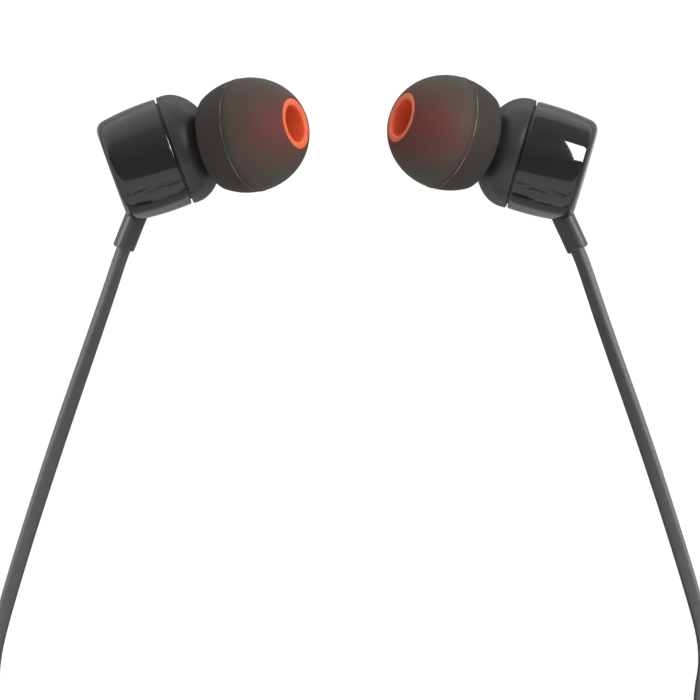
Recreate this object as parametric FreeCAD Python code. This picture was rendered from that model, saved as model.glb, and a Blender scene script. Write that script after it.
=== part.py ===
"""Wired in-ear earphones lying on a table, ready to pick up, with the spare cord put away in hanks.

Millimetres, +Z up. The origin is on the table, under the middle of the two buds.
A bud is built about its own axis: X runs from the back to the ear with zero at the seam,
-Y is the side where the cord leaves, and the nozzle leans towards +Z.
"""
import FreeCAD, Part
import math
import os
from collections import namedtuple

V = FreeCAD.Vector
Rotation = FreeCAD.Rotation
Placement = FreeCAD.Placement
UP = V(0, 0, 1)
ALONG = V(1, 0, 0)

# Where each bud lies: seam centre across and along the table, and how it is turned, in degrees
Pose = namedtuple("Pose", "across along yaw pitch roll")
left_pose = Pose(across=18.41, along=1.38, yaw=20.0, pitch=-0.6, roll=12.5)
right_pose = Pose(across=18.41, along=1.03, yaw=16.4, pitch=-2.5, roll=-1.9)

# Clearances
snug = 0.02
running = 0.03
touch = 0.05

# The round forms are small, so they are made of flats, on the outside within 0.02 mm of the circle
housing_flat_count = 36
tip_flat_count = 24
plug_flat_count = 20
inner_flat_count = 20
mesh_flat_count = 12
mesh_hole_flat_count = 5
microphone_flat_count = 16

# Rear shell of the housing
seam_radius = 5.82
barrel_radius = 5.81
barrel_at = -3.2
back_radius = 5.58
rear_length = 6.51
back_round = 1.08
back_round_steps = 2
back_wall = 0.7
rear_cavity_radius = 4.7
rear_cavity_chamfer = 1.1
spigot_radius = 5.35
spigot_length = 1.2

# Front shell of the housing, with its nozzle
seam_gap = 0.18
brow_radius = 5.89
brow_end = 0.77
brow_bevel = 0.12
dome_length = 4.03
dome_steps = 4
dome_end_radius = 2.2
driver_ledge = 1.0
ledge_width = 0.5
front_cavity_end = 3.5
front_cavity_end_radius = 2.2
nozzle_angle = 29.1
nozzle_shift = 0.3
collar_start = 3.0
collar_start_radius = 3.6
shoulder_at = 5.7
shoulder_radius = 2.9
shank_radius = 2.05
nozzle_length = 3.9
lip_radius = 2.3
lip_length = 0.7
lip_bevel = 0.2
sound_bore_radius = 1.45
mesh_radius = 1.75
mesh_thickness = 0.12
mesh_pocket_depth = 0.3
mesh_hole_radius = 0.22
mesh_hole_ring = 0.9
mesh_hole_count = 5

# Ear tip, along the nozzle's axis from the seam
tip_start = 6.0
core_radius = 2.7
core_bore_radius = 1.95
core_end = 14.95
core_ring_radius = 2.8
core_round = 0.3
dome_rim_at = 5.8
dome_rim_radius = 5.15
dome_widest_at = 9.31
dome_widest_radius = 6.02
dome_nose_at = 14.5
dome_nose_radius = 3.5
dome_front_at = 14.62
dome_skin = 0.55
dome_front_steps = 5
dome_rear_steps = 1

# Driver, 9 mm across, seated on the ledge in the front shell
driver_radius = 4.5
driver_depth = 2.6
driver_rim = 0.3
driver_rim_depth = 0.75
yoke_radius = 3.25
yoke_wall = 0.4
yoke_depth = 1.9
yoke_stands_out = 0.3
magnet_radius = 1.8
magnet_height = 1.0
plate_radius = 1.85
plate_height = 0.4
coil_inner_radius = 2.05
coil_wall = 0.2
coil_height = 1.1
film = 0.08
film_dome_rise = 0.45
film_roll_depth = 0.25
cover_thickness = 0.2
cover_gap = 0.08
cover_window_inner = 1.1
cover_window_outer = 3.1
cover_window_count = 3
cover_spoke_angle = 24.0
board_size = (0.4, 4.4, 2.2)

# Strain relief and the cord's end in the housing
cord_angle = 48.8
cord_cross = 1.46
relief_width = 2.44
relief_thickness = 1.65
relief_bevel = 0.42
relief_roll = -36.0
relief_start = 3.5
relief_end = 10.6
relief_flange = 0.6
relief_flange_grow = 0.15
relief_recess = 0.22
recess_start = 6.35
knot_length = 0.8
knot_width = 2.2
knot_thickness = 1.9
knot_bevel = 0.4

# Cord
cord_width = 1.6
cord_thickness = 1.0
lane_gap = 0.45
tie_thickness = 0.5
tie_width = 5.0

# Spare cord, wound in hanks below the buds
hank_inner_radius = 4.8
hank_head = -69.5
branch_run = 26.0
main_run = 30.0
left_hank_across = -37.2
left_hank_start = -66.5
right_hank_across = 19.4
main_hank_across = -3.9
main_hank_start = -95.0
branch_end_run = 1.7

# Splitter
splitter_across = 6.7
splitter_start = -67.0
splitter_length = 14.0
splitter_width = 5.6
splitter_neck = 3.2
splitter_bevel = 0.5
branch_spacing = 2.0

# In-line remote with one button and a microphone
remote_across = 37.2
remote_start = -61.0
remote_length = 26.0
remote_width = 6.4
remote_bevel = 1.0
remote_back_height = 1.9
remote_front_height = 1.9
remote_wall = 0.7
remote_lip = 0.4
button_length = 8.0
button_width = 3.4
button_stands_out = 0.5
button_travel = 0.25
button_gap = 0.05
button_flange = 0.4
button_flange_thickness = 0.35
switch_size = (3.0, 2.6, 0.5)
remote_board_size = (19.0, 4.4, 0.5)
microphone_radius = 1.3
microphone_height = 0.9
microphone_from_middle = 7.6
microphone_hole_radius = 0.45

# Plug, 3.5 mm with four contacts
plug_across = -8.6
plug_start = -97.5
plug_relief_length = 8.0
plug_relief_radius = 1.75
plug_relief_rib_count = 4
plug_relief_flat_count = 12
plug_body_length = 16.0
plug_body_radius = 2.8
plug_body_nose = 2.4
plug_bevel = 0.5
contact_radius = 1.75
contact_neck_radius = 1.15
contact_length = 14.0
sleeve_contact_length = 5.3
ring_contact_length = 2.0
insulator_length = 0.6
tip_ball_at = 2.1

# Routes of the free cord, as points chosen by hand, after the first straight out of the strain relief
first_straight = 3.5
left_route = [(-26.6, -17.3, 2.0), (-31.3, -30.8, 1.0), (-35.9, -45.3, 0.8), (-38.0, -53.6, 1.0),
              (-37.2, -60.9, 2.5)]
right_route = [(27.2, -17.3, 5.0), (32.0, -30.8, 1.6), (36.6, -45.3, 0.8), (38.2, -51.7, 1.0),
               (37.2, -56.6, 1.9)]
left_lead_route = [(-23.5, -63.2), (-20.2, -59.9), (-12.7, -60.1), (-5.2, -59.7), (2.4, -59.9), (5.7, -63.2)]
right_lead_route = [(19.4, -63.2), (16.1, -59.9), (11.0, -59.9), (7.7, -63.2)]
main_lead_route = [(6.7, -85.6), (6.4, -92.0), (6.7, -98.0), (3.4, -101.3), (-0.6, -101.3), (-3.9, -98.0)]
main_end_drop = 3.2
main_end_rise = 6.4
main_end_side = 4.58

# Sizes that follow from the ones above
spigot_bore = driver_radius + running
tip_seat_radius = shank_radius + running
lip_at = shoulder_at + nozzle_length - lip_length
nozzle_end = shoulder_at + nozzle_length
driver_front = driver_ledge - snug
driver_back = driver_front - driver_depth
yoke_back = driver_back - yoke_stands_out
lane = cord_width + lane_gap
layer = cord_thickness + lane_gap
hank_floor = tie_thickness + touch + cord_thickness / 2
inner_turn = [hank_inner_radius + lane / 2 * step for step in range(4)]
splitter_thickness = 2 * hank_floor
remote_height = remote_back_height
main_layer_count = 4
main_hank_top = hank_floor + layer * (main_layer_count - 1) + cord_thickness / 2
plug_height = main_hank_top + touch + tie_thickness + touch + plug_body_radius


def ellipse(centre, half_length, radius, first_radius, last_radius, steps):
    """Places on an ellipse about the axis; a minus first_radius starts behind its widest place."""
    first = math.copysign(math.acos(abs(first_radius) / radius), first_radius)
    last = math.copysign(math.acos(abs(last_radius) / radius), last_radius)
    angles = [first + (last - first) * step / steps for step in range(steps + 1)]
    return [(centre + half_length * math.sin(angle), radius * math.cos(angle)) for angle in angles]


def turned(outline, flats):
    """A form turned about X from a closed outline of (along, radius) places, made of flats."""
    rings = []
    for number in range(flats + 1):
        angle = 2 * math.pi * (number % flats) / flats
        ring = [V(along, radius * math.cos(angle), radius * math.sin(angle)) for along, radius in outline]
        rings.append(ring)
    faces = []
    for ring, following in zip(rings, rings[1:]):
        for corner in range(len(outline)):
            after = (corner + 1) % len(outline)
            loop = [ring[corner], ring[after], following[after], following[corner]]
            befores = loop[-1:] + loop[:-1]
            distinct = [at for at, before in zip(loop, befores) if at.distanceToPoint(before) > 1e-7]
            if len(distinct) > 2:
                faces.append(Part.Face(Part.makePolygon(distinct + distinct[:1])))
    shell = Part.makeShell(faces)
    shell.sewShape()
    solid = Part.makeSolid(shell)
    if solid.Volume < 0:
        solid.reverse()
    return solid


def rod(start, end, radius, flats):
    """A round rod along X."""
    return turned([(start, 0), (start, radius), (end, radius), (end, 0)], flats)


def tube(start, end, outer, inner, flats):
    """A round tube along X."""
    return turned([(start, inner), (start, outer), (end, outer), (end, inner)], flats)


def block(size, middle):
    """A box by its size and the middle of it."""
    corner = V(*middle) - V(*size) / 2
    return Part.makeBox(*size, corner)


def bar(start, end, width, thickness, bevel):
    """A bar along X with a bevelled rectangular section."""
    side = width / 2
    half = thickness / 2
    corners = [(side, half - bevel), (side - bevel, half), (bevel - side, half), (-side, half - bevel),
               (-side, bevel - half), (bevel - side, -half), (side - bevel, -half), (side, bevel - half)]
    points = [V(start, across, up) for across, up in corners]
    return Part.Face(Part.makePolygon(points + points[:1])).extrude(V(end - start, 0, 0))


def moved(shape, place):
    """A copy of a shape, carried along with a placement."""
    placed = shape.copy()
    placed.Placement = place.multiply(placed.Placement)
    return placed


def onto_nozzle(shape):
    """Lean a form built along X onto the nozzle's axis."""
    return moved(shape, Placement(V(0, -nozzle_shift, 0), Rotation(V(0, 1, 0), -nozzle_angle)))


def onto_cord_exit(shape):
    """Turn a form built along X onto the line where the cord leaves the housing, and roll it there."""
    aim = Rotation(UP, cord_angle - 180).multiply(Rotation(ALONG, relief_roll))
    return moved(shape, Placement(V(-cord_cross, 0, 0), aim))


# Housing: two shells that plug together at the seam

def relief_bar(start, end, grow):
    """The strain relief's section as a bar, larger by grow all round."""
    shape = bar(start, end, relief_width + 2 * grow, relief_thickness + 2 * grow, relief_bevel + grow / 2)
    return onto_cord_exit(shape)


def rear_shell():
    """Glossy barrel with a rounded back, a rabbet for the spigot and a hole for the strain relief."""
    back = -rear_length
    round_centre = (back + back_round, back_radius - back_round)
    corner = []
    for step in range(back_round_steps + 1):
        angle = math.pi / 2 * step / back_round_steps
        along = round_centre[0] - back_round * math.sin(angle)
        corner.append((along, round_centre[1] + back_round * math.cos(angle)))
    side = [(0, seam_radius), (barrel_at, barrel_radius)]
    shell = turned([(0, 0)] + side + corner + [(back, 0)], housing_flat_count)
    floor = back + back_wall
    cavity = turned([(floor, 0), (floor, rear_cavity_radius - rear_cavity_chamfer),
                     (floor + rear_cavity_chamfer, rear_cavity_radius), (0, rear_cavity_radius), (0, 0)],
                    inner_flat_count)
    rabbet = rod(-spigot_length - touch, 0, spigot_radius + snug, inner_flat_count)
    hole = relief_bar(relief_start, relief_end, snug)
    recess = relief_bar(recess_start, relief_end, relief_recess)
    return shell.cut(cavity).cut(rabbet).cut(hole).cut(recess)


def front_shell():
    """Satin dome with a spigot behind, a seat for the driver inside and the angled nozzle in front."""
    dome = ellipse(brow_end, dome_length, brow_radius, brow_radius, dome_end_radius, dome_steps)
    outside = [(seam_gap, 0), (seam_gap, brow_radius - brow_bevel), (seam_gap + brow_bevel, brow_radius)]
    shell = turned(outside + dome + [(dome[-1][0], 0)], housing_flat_count)
    spigot = rod(-spigot_length, driver_ledge, spigot_radius, inner_flat_count)
    collar = turned([(collar_start, 0), (collar_start, collar_start_radius), (shoulder_at, shoulder_radius),
                     (shoulder_at, 0)], tip_flat_count)
    nozzle = turned([(collar_start, 0), (collar_start, shank_radius), (lip_at, shank_radius),
                     (lip_at, lip_radius), (nozzle_end - lip_bevel, lip_radius),
                     (nozzle_end, lip_radius - lip_bevel), (nozzle_end, 0)], tip_flat_count)
    shell = shell.fuse(spigot).fuse(onto_nozzle(collar)).fuse(onto_nozzle(nozzle))
    cavity = turned([(-spigot_length, 0), (-spigot_length, spigot_bore), (driver_ledge, spigot_bore),
                     (driver_ledge, driver_radius - ledge_width), (front_cavity_end, front_cavity_end_radius),
                     (front_cavity_end, 0)], inner_flat_count)
    bore = turned([(front_cavity_end - 0.6, 0), (front_cavity_end - 0.6, sound_bore_radius),
                   (nozzle_end - mesh_pocket_depth, sound_bore_radius),
                   (nozzle_end - mesh_pocket_depth, mesh_radius), (nozzle_end, mesh_radius),
                   (nozzle_end, 0)], mesh_flat_count)
    return shell.cut(cavity).cut(onto_nozzle(bore)).removeSplitter()


def nozzle_mesh():
    """Perforated disc in the nozzle's mouth that keeps wax out."""
    start = nozzle_end - mesh_pocket_depth
    disc = rod(start, start + mesh_thickness, mesh_radius - snug, mesh_flat_count)
    hole = rod(start, start + mesh_thickness, mesh_hole_radius, mesh_hole_flat_count)
    holes = [hole]
    for number in range(mesh_hole_count):
        angle = 2 * math.pi * number / mesh_hole_count
        across = V(0, math.cos(angle), math.sin(angle)) * mesh_hole_ring
        holes.append(hole.translated(across))
    return onto_nozzle(disc.cut(Part.makeCompound(holes)))


# Ear tip: a stiff core tube with a soft dome moulded over its front

def ear_tip_core():
    """Tube that grips the nozzle behind its lip and ends in the ring that shows in front."""
    groove_start = lip_at - running
    groove_end = nozzle_end + running
    outline = [(tip_start, tip_seat_radius), (tip_start, core_radius),
               (dome_front_at, core_radius), (dome_front_at, core_ring_radius),
               (core_end - core_round, core_ring_radius), (core_end, core_ring_radius - core_round),
               (core_end, core_bore_radius + core_round), (core_end - core_round, core_bore_radius),
               (groove_end + lip_bevel, core_bore_radius), (groove_end - lip_bevel, lip_radius + running),
               (groove_start, lip_radius + running), (groove_start, tip_seat_radius)]
    return onto_nozzle(turned(outline, tip_flat_count))


def ear_tip_dome():
    """Mushroom skin: bonded to the core in front, open behind."""
    rear_half = (dome_widest_at - dome_rim_at) / math.sqrt(1 - (dome_rim_radius / dome_widest_radius) ** 2)
    front_half = (dome_nose_at - dome_widest_at) / math.sqrt(1 - (dome_nose_radius / dome_widest_radius) ** 2)
    inner_radius = dome_widest_radius - dome_skin
    inner_half = front_half - dome_skin
    inner_rim = dome_rim_radius - dome_skin
    rear = ellipse(dome_widest_at, rear_half, dome_widest_radius, -dome_rim_radius, dome_widest_radius,
                   dome_rear_steps)
    front = ellipse(dome_widest_at, front_half, dome_widest_radius, dome_widest_radius, dome_nose_radius,
                    dome_front_steps)
    inner_front = ellipse(dome_widest_at, inner_half, inner_radius, inner_radius, core_radius + snug,
                          dome_front_steps - 2)
    inner = [(dome_rim_at, inner_rim)] + inner_front
    outline = rear[:-1] + front + [(dome_front_at, core_ring_radius), (dome_front_at, core_radius + snug)]
    outline += inner[::-1]
    return onto_nozzle(turned(outline, tip_flat_count))


# Driver: a moving-coil unit held together by its frame

def driver_frame():
    """Ring that holds the yoke behind and the diaphragm's edge in front."""
    step_at = driver_front - driver_rim_depth
    yoke_seat = yoke_radius + snug
    outline = [(driver_back, yoke_seat), (driver_back, driver_radius), (driver_front, driver_radius),
               (driver_front, driver_radius - driver_rim), (step_at, driver_radius - driver_rim),
               (step_at, yoke_seat)]
    return turned(outline, inner_flat_count)


def driver_yoke():
    """Steel cup round the magnet."""
    bottom = yoke_back + yoke_wall
    mouth = yoke_back + yoke_depth
    outline = [(yoke_back, 0), (yoke_back, yoke_radius), (mouth, yoke_radius),
               (mouth, yoke_radius - yoke_wall), (bottom, yoke_radius - yoke_wall), (bottom, 0)]
    return turned(outline, inner_flat_count)


def driver_magnet():
    """Disc magnet glued in the yoke."""
    start = yoke_back + yoke_wall
    return rod(start, start + magnet_height, magnet_radius, inner_flat_count)


def driver_top_plate():
    """Steel disc on the magnet that leads its field to the coil."""
    start = yoke_back + yoke_wall + magnet_height
    return rod(start, start + plate_height, plate_radius, inner_flat_count)


def voice_coil():
    """Wound ring in the gap between plate and yoke, glued to the diaphragm."""
    end = driver_front - driver_rim_depth
    return tube(end - coil_height, end, coil_inner_radius + coil_wall, coil_inner_radius, inner_flat_count)


def diaphragm():
    """Thin film with a centre dome and a shallow roll, its edge on the frame's step."""
    seat = driver_front - driver_rim_depth
    edge = driver_radius - driver_rim - snug
    coil = coil_inner_radius + coil_wall
    roll = (edge + coil) / 2
    front = [(seat + film, edge), (seat + film + film_roll_depth, roll), (seat + film, coil),
             (seat + film, coil_inner_radius), (seat + film + film_dome_rise, coil_inner_radius / 3),
             (seat + film + film_dome_rise, 0)]
    back = [(along - film, radius) for along, radius in front[::-1]]
    return turned(front + back, inner_flat_count)


def driver_cover():
    """Front plate with three windows that shields the diaphragm."""
    end = driver_front
    start = end - cover_thickness
    plate = rod(start, end, driver_radius - driver_rim - snug, inner_flat_count)
    windows = []
    opening = 360 / cover_window_count - cover_spoke_angle
    for number in range(cover_window_count):
        first = math.radians(360 / cover_window_count * number)
        corners = []
        for radius, steps in ((cover_window_outer, (0, 1, 2, 3)), (cover_window_inner, (3, 0))):
            for step in steps:
                angle = first + math.radians(opening) * step / 3
                corners.append(V(start, radius * math.cos(angle), radius * math.sin(angle)))
        face = Part.Face(Part.makePolygon(corners + corners[:1]))
        windows.append(face.extrude(V(cover_thickness, 0, 0)))
    return plate.cut(Part.makeCompound(windows))


def terminal_board():
    """Small board behind the yoke where the cord's wires are soldered."""
    return block(board_size, (yoke_back - touch / 2 - board_size[0] / 2, 0, 0))


# Cord exit: strain relief through the wall, and the cord's end tied behind it

def strain_relief():
    """Soft sleeve through the rear corner, with a flange inside that stops it from pulling out."""
    sleeve = relief_bar(relief_start + relief_flange, relief_end, 0)
    flange = relief_bar(relief_start, relief_start + relief_flange, relief_flange_grow)
    size = (relief_end - relief_start, cord_width + 2 * snug, cord_thickness + 2 * snug)
    bore = onto_cord_exit(block(size, ((relief_end + relief_start) / 2, 0, 0)))
    return sleeve.fuse(flange).cut(bore).removeSplitter()


def cord_tail():
    """The cord's last stretch, through the strain relief."""
    start = relief_start - touch
    size = (relief_end - start, cord_width, cord_thickness)
    return onto_cord_exit(block(size, ((relief_end + start) / 2, 0, 0)))


def cord_knot():
    """Crimped stop on the cord's end, behind the strain relief's flange."""
    end = relief_start - touch
    return onto_cord_exit(bar(end - knot_length, end, knot_width, knot_thickness, knot_bevel))


BUD_PIECES = {
    "rear_shell": rear_shell,
    "front_shell": front_shell,
    "nozzle_mesh": nozzle_mesh,
    "ear_tip_core": ear_tip_core,
    "ear_tip_dome": ear_tip_dome,
    "driver_frame": driver_frame,
    "driver_yoke": driver_yoke,
    "driver_magnet": driver_magnet,
    "driver_top_plate": driver_top_plate,
    "voice_coil": voice_coil,
    "diaphragm": diaphragm,
    "driver_cover": driver_cover,
    "terminal_board": terminal_board,
    "strain_relief": strain_relief,
    "cord_tail": cord_tail,
    "cord_knot": cord_knot,
}


def bud_placement(pose, height):
    """Lay the left bud, or the right bud before it is mirrored, on the table."""
    turn = Rotation(UP, pose.yaw).multiply(Rotation(V(0, 1, 0), -pose.pitch))
    turn = turn.multiply(Rotation(ALONG, pose.roll))
    return Placement(V(-pose.across, pose.along, height), turn)


def seat_height(shells, pose):
    """Height of the seam's centre at which the housing just touches the table."""
    placed = [moved(shell, bud_placement(pose, 0)) for shell in shells]
    return -min(vertex.Z for shell in placed for vertex in shell.Vertexes)


def place_bud(pieces, pose, mirrored):
    """Every piece of a bud where it lies on the table, and where the cord leaves it and which way."""
    height = seat_height([pieces["rear_shell"], pieces["front_shell"]], pose)
    where = bud_placement(pose, height)
    placed = {}
    for name, shape in pieces.items():
        laid = moved(shape, where)
        placed[name] = laid.mirror(V(0, 0, 0), ALONG) if mirrored else laid
    exit_line = where.multiply(Placement(V(-cord_cross, 0, 0), Rotation(UP, cord_angle - 180)))
    leaves = exit_line.multVec(V(relief_end, 0, 0))
    way = exit_line.multVec(V(relief_end + 1, 0, 0)) - leaves
    if mirrored:
        leaves.x = -leaves.x
        way.x = -way.x
    return placed, leaves, way


# Cord: straight runs and tangent arcs, and hanks of half turns

def rounded(points, name):
    """Edges along the points, each corner rounded as far as its two runs allow."""
    edges = []
    radii = []
    here = points[0]
    for before, corner, after in zip(points, points[1:], points[2:]):
        back = (before - corner).normalize()
        on = (after - corner).normalize()
        turn = math.pi - back.getAngle(on)
        reach = 0.45 * min(corner.distanceToPoint(before), corner.distanceToPoint(after))
        radius = reach / math.tan(turn / 2)
        centre = corner + (back + on).normalize() * (radius / math.cos(turn / 2))
        first = corner + back * reach
        last = corner + on * reach
        middle = centre + (corner - centre).normalize() * radius
        edges.append(Part.LineSegment(here, first).toShape())
        edges.append(Part.Arc(first, middle, last).toShape())
        radii.append(radius)
        here = last
    edges.append(Part.LineSegment(here, points[-1]).toShape())
    print(name, "bend radii", [round(radius, 1) for radius in radii])
    return edges


def climb(start, way, length, rise):
    """A run that rises or sinks to another layer, as two arcs."""
    angle = 2 * math.atan(rise / length)
    radius = length / (2 * math.sin(angle))
    half_way = start + way * (length / 2) + UP * (rise / 2)
    end = start + way * length + UP * rise
    sag = radius * (1 - math.cos(angle / 2))
    reach = radius * math.sin(angle / 2)
    first = Part.Arc(start, start + way * reach + UP * sag, half_way).toShape()
    last = Part.Arc(half_way, end - way * reach - UP * sag, end).toShape()
    return [first, last], end


def wound(start, way, side, runs, radii, climbs):
    """Edges of a hank: a run, then each half turn and the run after it. Side 1 winds to the left.

    Climbs gives the rise of each run that changes its layer, by the run's number.
    """
    edges = []
    here = start
    for number, length in enumerate(runs):
        if number in climbs:
            rising, end = climb(here, way, length, climbs[number])
            edges += rising
        else:
            end = here + way * length
            edges.append(Part.LineSegment(here, end).toShape())
        here = end
        if number < len(radii):
            radius = radii[number]
            across = UP.cross(way) * side
            end = here + across * (2 * radius)
            edges.append(Part.Arc(here, here + (across + way) * radius, end).toShape())
            here = end
            way = way * -1
    return edges, here, way


def cord_along(edges, start, way, name):
    """The flat cord along a path, checked against its section times its length."""
    flat = UP.cross(way).normalize() * (cord_width / 2)
    thick = way.cross(flat).normalize() * (cord_thickness / 2)
    corners = [start + flat + thick, start - flat + thick, start - flat - thick, start + flat - thick]
    section = Part.makePolygon(corners + corners[:1])
    path = Part.Wire(edges)
    solid = path.makePipeShell([section], True, False)
    expected = cord_width * cord_thickness * path.Length
    print(name, "length", round(path.Length, 1), "volume share", round(solid.Volume / expected, 3))
    return solid


def least_gap(edges, name):
    """Print the least gap between a hank's turns, measured on points a millimetre apart."""
    path = Part.Wire(edges)
    points = path.discretize(Number=int(path.Length))
    spacing = path.Length / (len(points) - 1)
    skip = int(4 * cord_width / spacing) + 1
    gaps = []
    for number, at in enumerate(points):
        for other in points[number + skip:]:
            level = abs(at.z - other.z) - cord_thickness
            flat = math.hypot(at.x - other.x, at.y - other.y) - cord_width
            gaps.append(max(level, flat))
    print(name, "least gap to itself", round(min(gaps), 2))


def hank_tie(first_across, last_across, run, layers):
    """Flat band round the runs of a hank."""
    low = min(first_across, last_across) - cord_width / 2 - touch
    high = max(first_across, last_across) + cord_width / 2 + touch
    top = hank_floor + layer * (layers - 1) + cord_thickness / 2 + touch
    middle = ((low + high) / 2, hank_head - run / 2, (top + tie_thickness) / 2)
    outer = block((high - low + 2 * tie_thickness, tie_width, top + tie_thickness), middle)
    inner = block((high - low, tie_width, top - tie_thickness), middle)
    return outer.cut(inner)


# Splitter, remote and plug

def splitter():
    """Moulding that joins the two branches to the main cord, narrower towards the main cord."""
    half = splitter_thickness / 2
    rings = []
    for along, width in ((splitter_start, splitter_width),
                         (splitter_start - splitter_length * 0.45, splitter_width),
                         (splitter_start - splitter_length, splitter_neck)):
        side = width / 2
        corners = [(side, -half + splitter_bevel), (side, half - splitter_bevel),
                   (side - splitter_bevel, half), (-side + splitter_bevel, half),
                   (-side, half - splitter_bevel), (-side, -half + splitter_bevel),
                   (-side + splitter_bevel, -half), (side - splitter_bevel, -half)]
        ring = [V(splitter_across + across, along, hank_floor + up) for across, up in corners]
        rings.append(ring)
    faces = [Part.Face(Part.makePolygon(ring + ring[:1])) for ring in (rings[0], rings[-1])]
    for ring, following in zip(rings, rings[1:]):
        for corner in range(len(ring)):
            after = (corner + 1) % len(ring)
            loop = [ring[corner], ring[after], following[after], following[corner], ring[corner]]
            faces.append(Part.Face(Part.makePolygon(loop)))
    shell = Part.makeShell(faces)
    shell.sewShape()
    solid = Part.makeSolid(shell)
    if solid.Volume < 0:
        solid.reverse()
    return solid


def onto_remote(shape):
    """Turn a form built along X, button up, onto the remote's place; X runs down the cord."""
    middle = V(remote_across, remote_start - remote_length / 2, remote_height)
    return moved(shape, Placement(middle, Rotation(UP, -90)))


def remote_shell(low, high):
    """One half of the remote's case between two heights about its parting plane."""
    height = high - low
    box = block((remote_length, remote_width, height), (0, 0, (low + high) / 2))
    outer_level = high if abs(high) > abs(low) else low
    rim = [edge for edge in box.Edges
           if all(abs(vertex.Z - outer_level) < 1e-6 for vertex in edge.Vertexes)]
    shell = box.makeChamfer(remote_bevel, rim)
    inner_low = low + remote_wall if low < 0 else low
    inner_high = high - remote_wall if high > 0 else high
    room = (remote_length - 4 * remote_wall, remote_width - 2 * remote_wall, inner_high - inner_low)
    cavity = block(room, (0, 0, (inner_low + inner_high) / 2))
    return shell.cut(cavity)


def remote_back_cover():
    """Lower half of the remote's case."""
    return onto_remote(remote_shell(-remote_back_height, 0))


def remote_front_cover():
    """Upper half, with the button's opening and the microphone's hole."""
    cover = remote_shell(0, remote_front_height)
    opening = block((button_length + 2 * touch, button_width + 2 * touch, 2 * remote_front_height), (0, 0, 0))
    hole = rod(0, remote_front_height, microphone_hole_radius, mesh_flat_count)
    hole.Placement = Placement(V(microphone_from_middle, 0, 0), Rotation(V(0, 1, 0), -90))
    return onto_remote(cover.cut(opening).cut(hole))


def remote_button():
    """Button with a flange under the cover that keeps it in, and a stem over the switch."""
    top = remote_front_height + button_stands_out
    flange_top = remote_front_height - remote_wall - touch
    flange_low = flange_top - button_flange_thickness
    key = block((button_length, button_width, top - flange_low), (0, 0, (top + flange_low) / 2))
    rim = [edge for edge in key.Edges if all(abs(vertex.Z - top) < 1e-6 for vertex in edge.Vertexes)]
    key = key.makeChamfer(button_stands_out / 2, rim)
    size = (button_length + 2 * button_flange, button_width + 2 * button_flange, button_flange_thickness)
    flange = block(size, (0, 0, (flange_top + flange_low) / 2))
    return onto_remote(key.fuse(flange).removeSplitter())


def remote_board():
    """Circuit board on the floor of the back cover."""
    floor = -remote_back_height + remote_wall
    return onto_remote(block(remote_board_size, (0, 0, floor + touch + remote_board_size[2] / 2)))


def board_top():
    """Height of the board's top face about the remote's parting plane."""
    return -remote_back_height + remote_wall + touch + remote_board_size[2]


def remote_switch():
    """Dome switch on the board, with its foot on the board and its cap just clear of the pressed button."""
    flange_low = remote_front_height - remote_wall - touch - button_flange_thickness
    top = flange_low - button_travel - button_gap
    low = board_top()
    foot = block((switch_size[0], switch_size[1], top - low - 0.2), (0, 0, (top - 0.2 + low) / 2))
    cap = block((switch_size[0] / 2, switch_size[1] / 2, 0.2), (0, 0, top - 0.1))
    return onto_remote(foot.fuse(cap).removeSplitter())


def remote_microphone():
    """Round microphone on the board, under its hole."""
    can = rod(0, microphone_height, microphone_radius, microphone_flat_count)
    can.Placement = Placement(V(microphone_from_middle, 0, board_top()), Rotation(V(0, 1, 0), -90))
    return onto_remote(can)


def onto_plug(shape):
    """Turn a form built along X onto the plug's place, pointing back towards the buds."""
    return moved(shape, Placement(V(plug_across, plug_start, plug_height), Rotation(UP, 90)))


def plug_relief():
    """Ribbed, tapered strain relief behind the plug's body."""
    rib = plug_relief_length / plug_relief_rib_count
    narrow = cord_width / 2 + 0.35
    outline = [(0, 0)]
    for number in range(plug_relief_rib_count):
        radius = narrow + (plug_relief_radius - narrow) * (number + 1) / plug_relief_rib_count
        start = rib * number
        outline += [(start, radius), (start + rib * 0.7, radius), (start + rib * 0.7, radius - 0.3),
                    (start + rib, radius - 0.3)]
    return onto_plug(turned(outline + [(plug_relief_length, 0)], plug_relief_flat_count))


def plug_body():
    """Moulded grip of the plug."""
    start = plug_relief_length
    end = start + plug_body_length
    outline = [(start, 0), (start, plug_body_radius - plug_bevel), (start + plug_bevel, plug_body_radius),
               (end - 3.0, plug_body_radius), (end - plug_bevel, plug_body_nose),
               (end, plug_body_nose - plug_bevel), (end, 0)]
    return onto_plug(turned(outline, plug_flat_count))


def contact_places():
    """Start and end of the sleeve, the two rings and the tip along the plug."""
    start = plug_relief_length + plug_body_length
    sleeve_end = start + sleeve_contact_length
    near_ring = sleeve_end + insulator_length
    far_ring = near_ring + ring_contact_length + insulator_length
    tip = far_ring + ring_contact_length + insulator_length
    return {"sleeve": (start, sleeve_end), "near_ring": (near_ring, near_ring + ring_contact_length),
            "far_ring": (far_ring, far_ring + ring_contact_length), "tip": (tip, start + contact_length)}


def plug_contact(name):
    """A plain round contact of the plug."""
    start, end = contact_places()[name]
    return onto_plug(Part.makeCylinder(contact_radius, end - start, ALONG * start, ALONG))


def plug_tip_contact():
    """The plug's tip, with the groove that the socket's spring drops into."""
    start, end = contact_places()["tip"]
    outline = [(start, 0), (start, contact_radius), (start + 0.5, contact_radius),
               (start + 1.2, contact_neck_radius), (start + tip_ball_at, contact_radius),
               (end - 0.2, 0.5), (end, 0)]
    return onto_plug(turned(outline, plug_flat_count))


def plug_insulators():
    """Three black rings between the plug's contacts."""
    places = contact_places()
    starts = [places[name][1] for name in ("sleeve", "near_ring", "far_ring")]
    rings = [Part.makeCylinder(contact_radius, insulator_length, ALONG * start, ALONG) for start in starts]
    return onto_plug(Part.makeCompound(rings))


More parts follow.
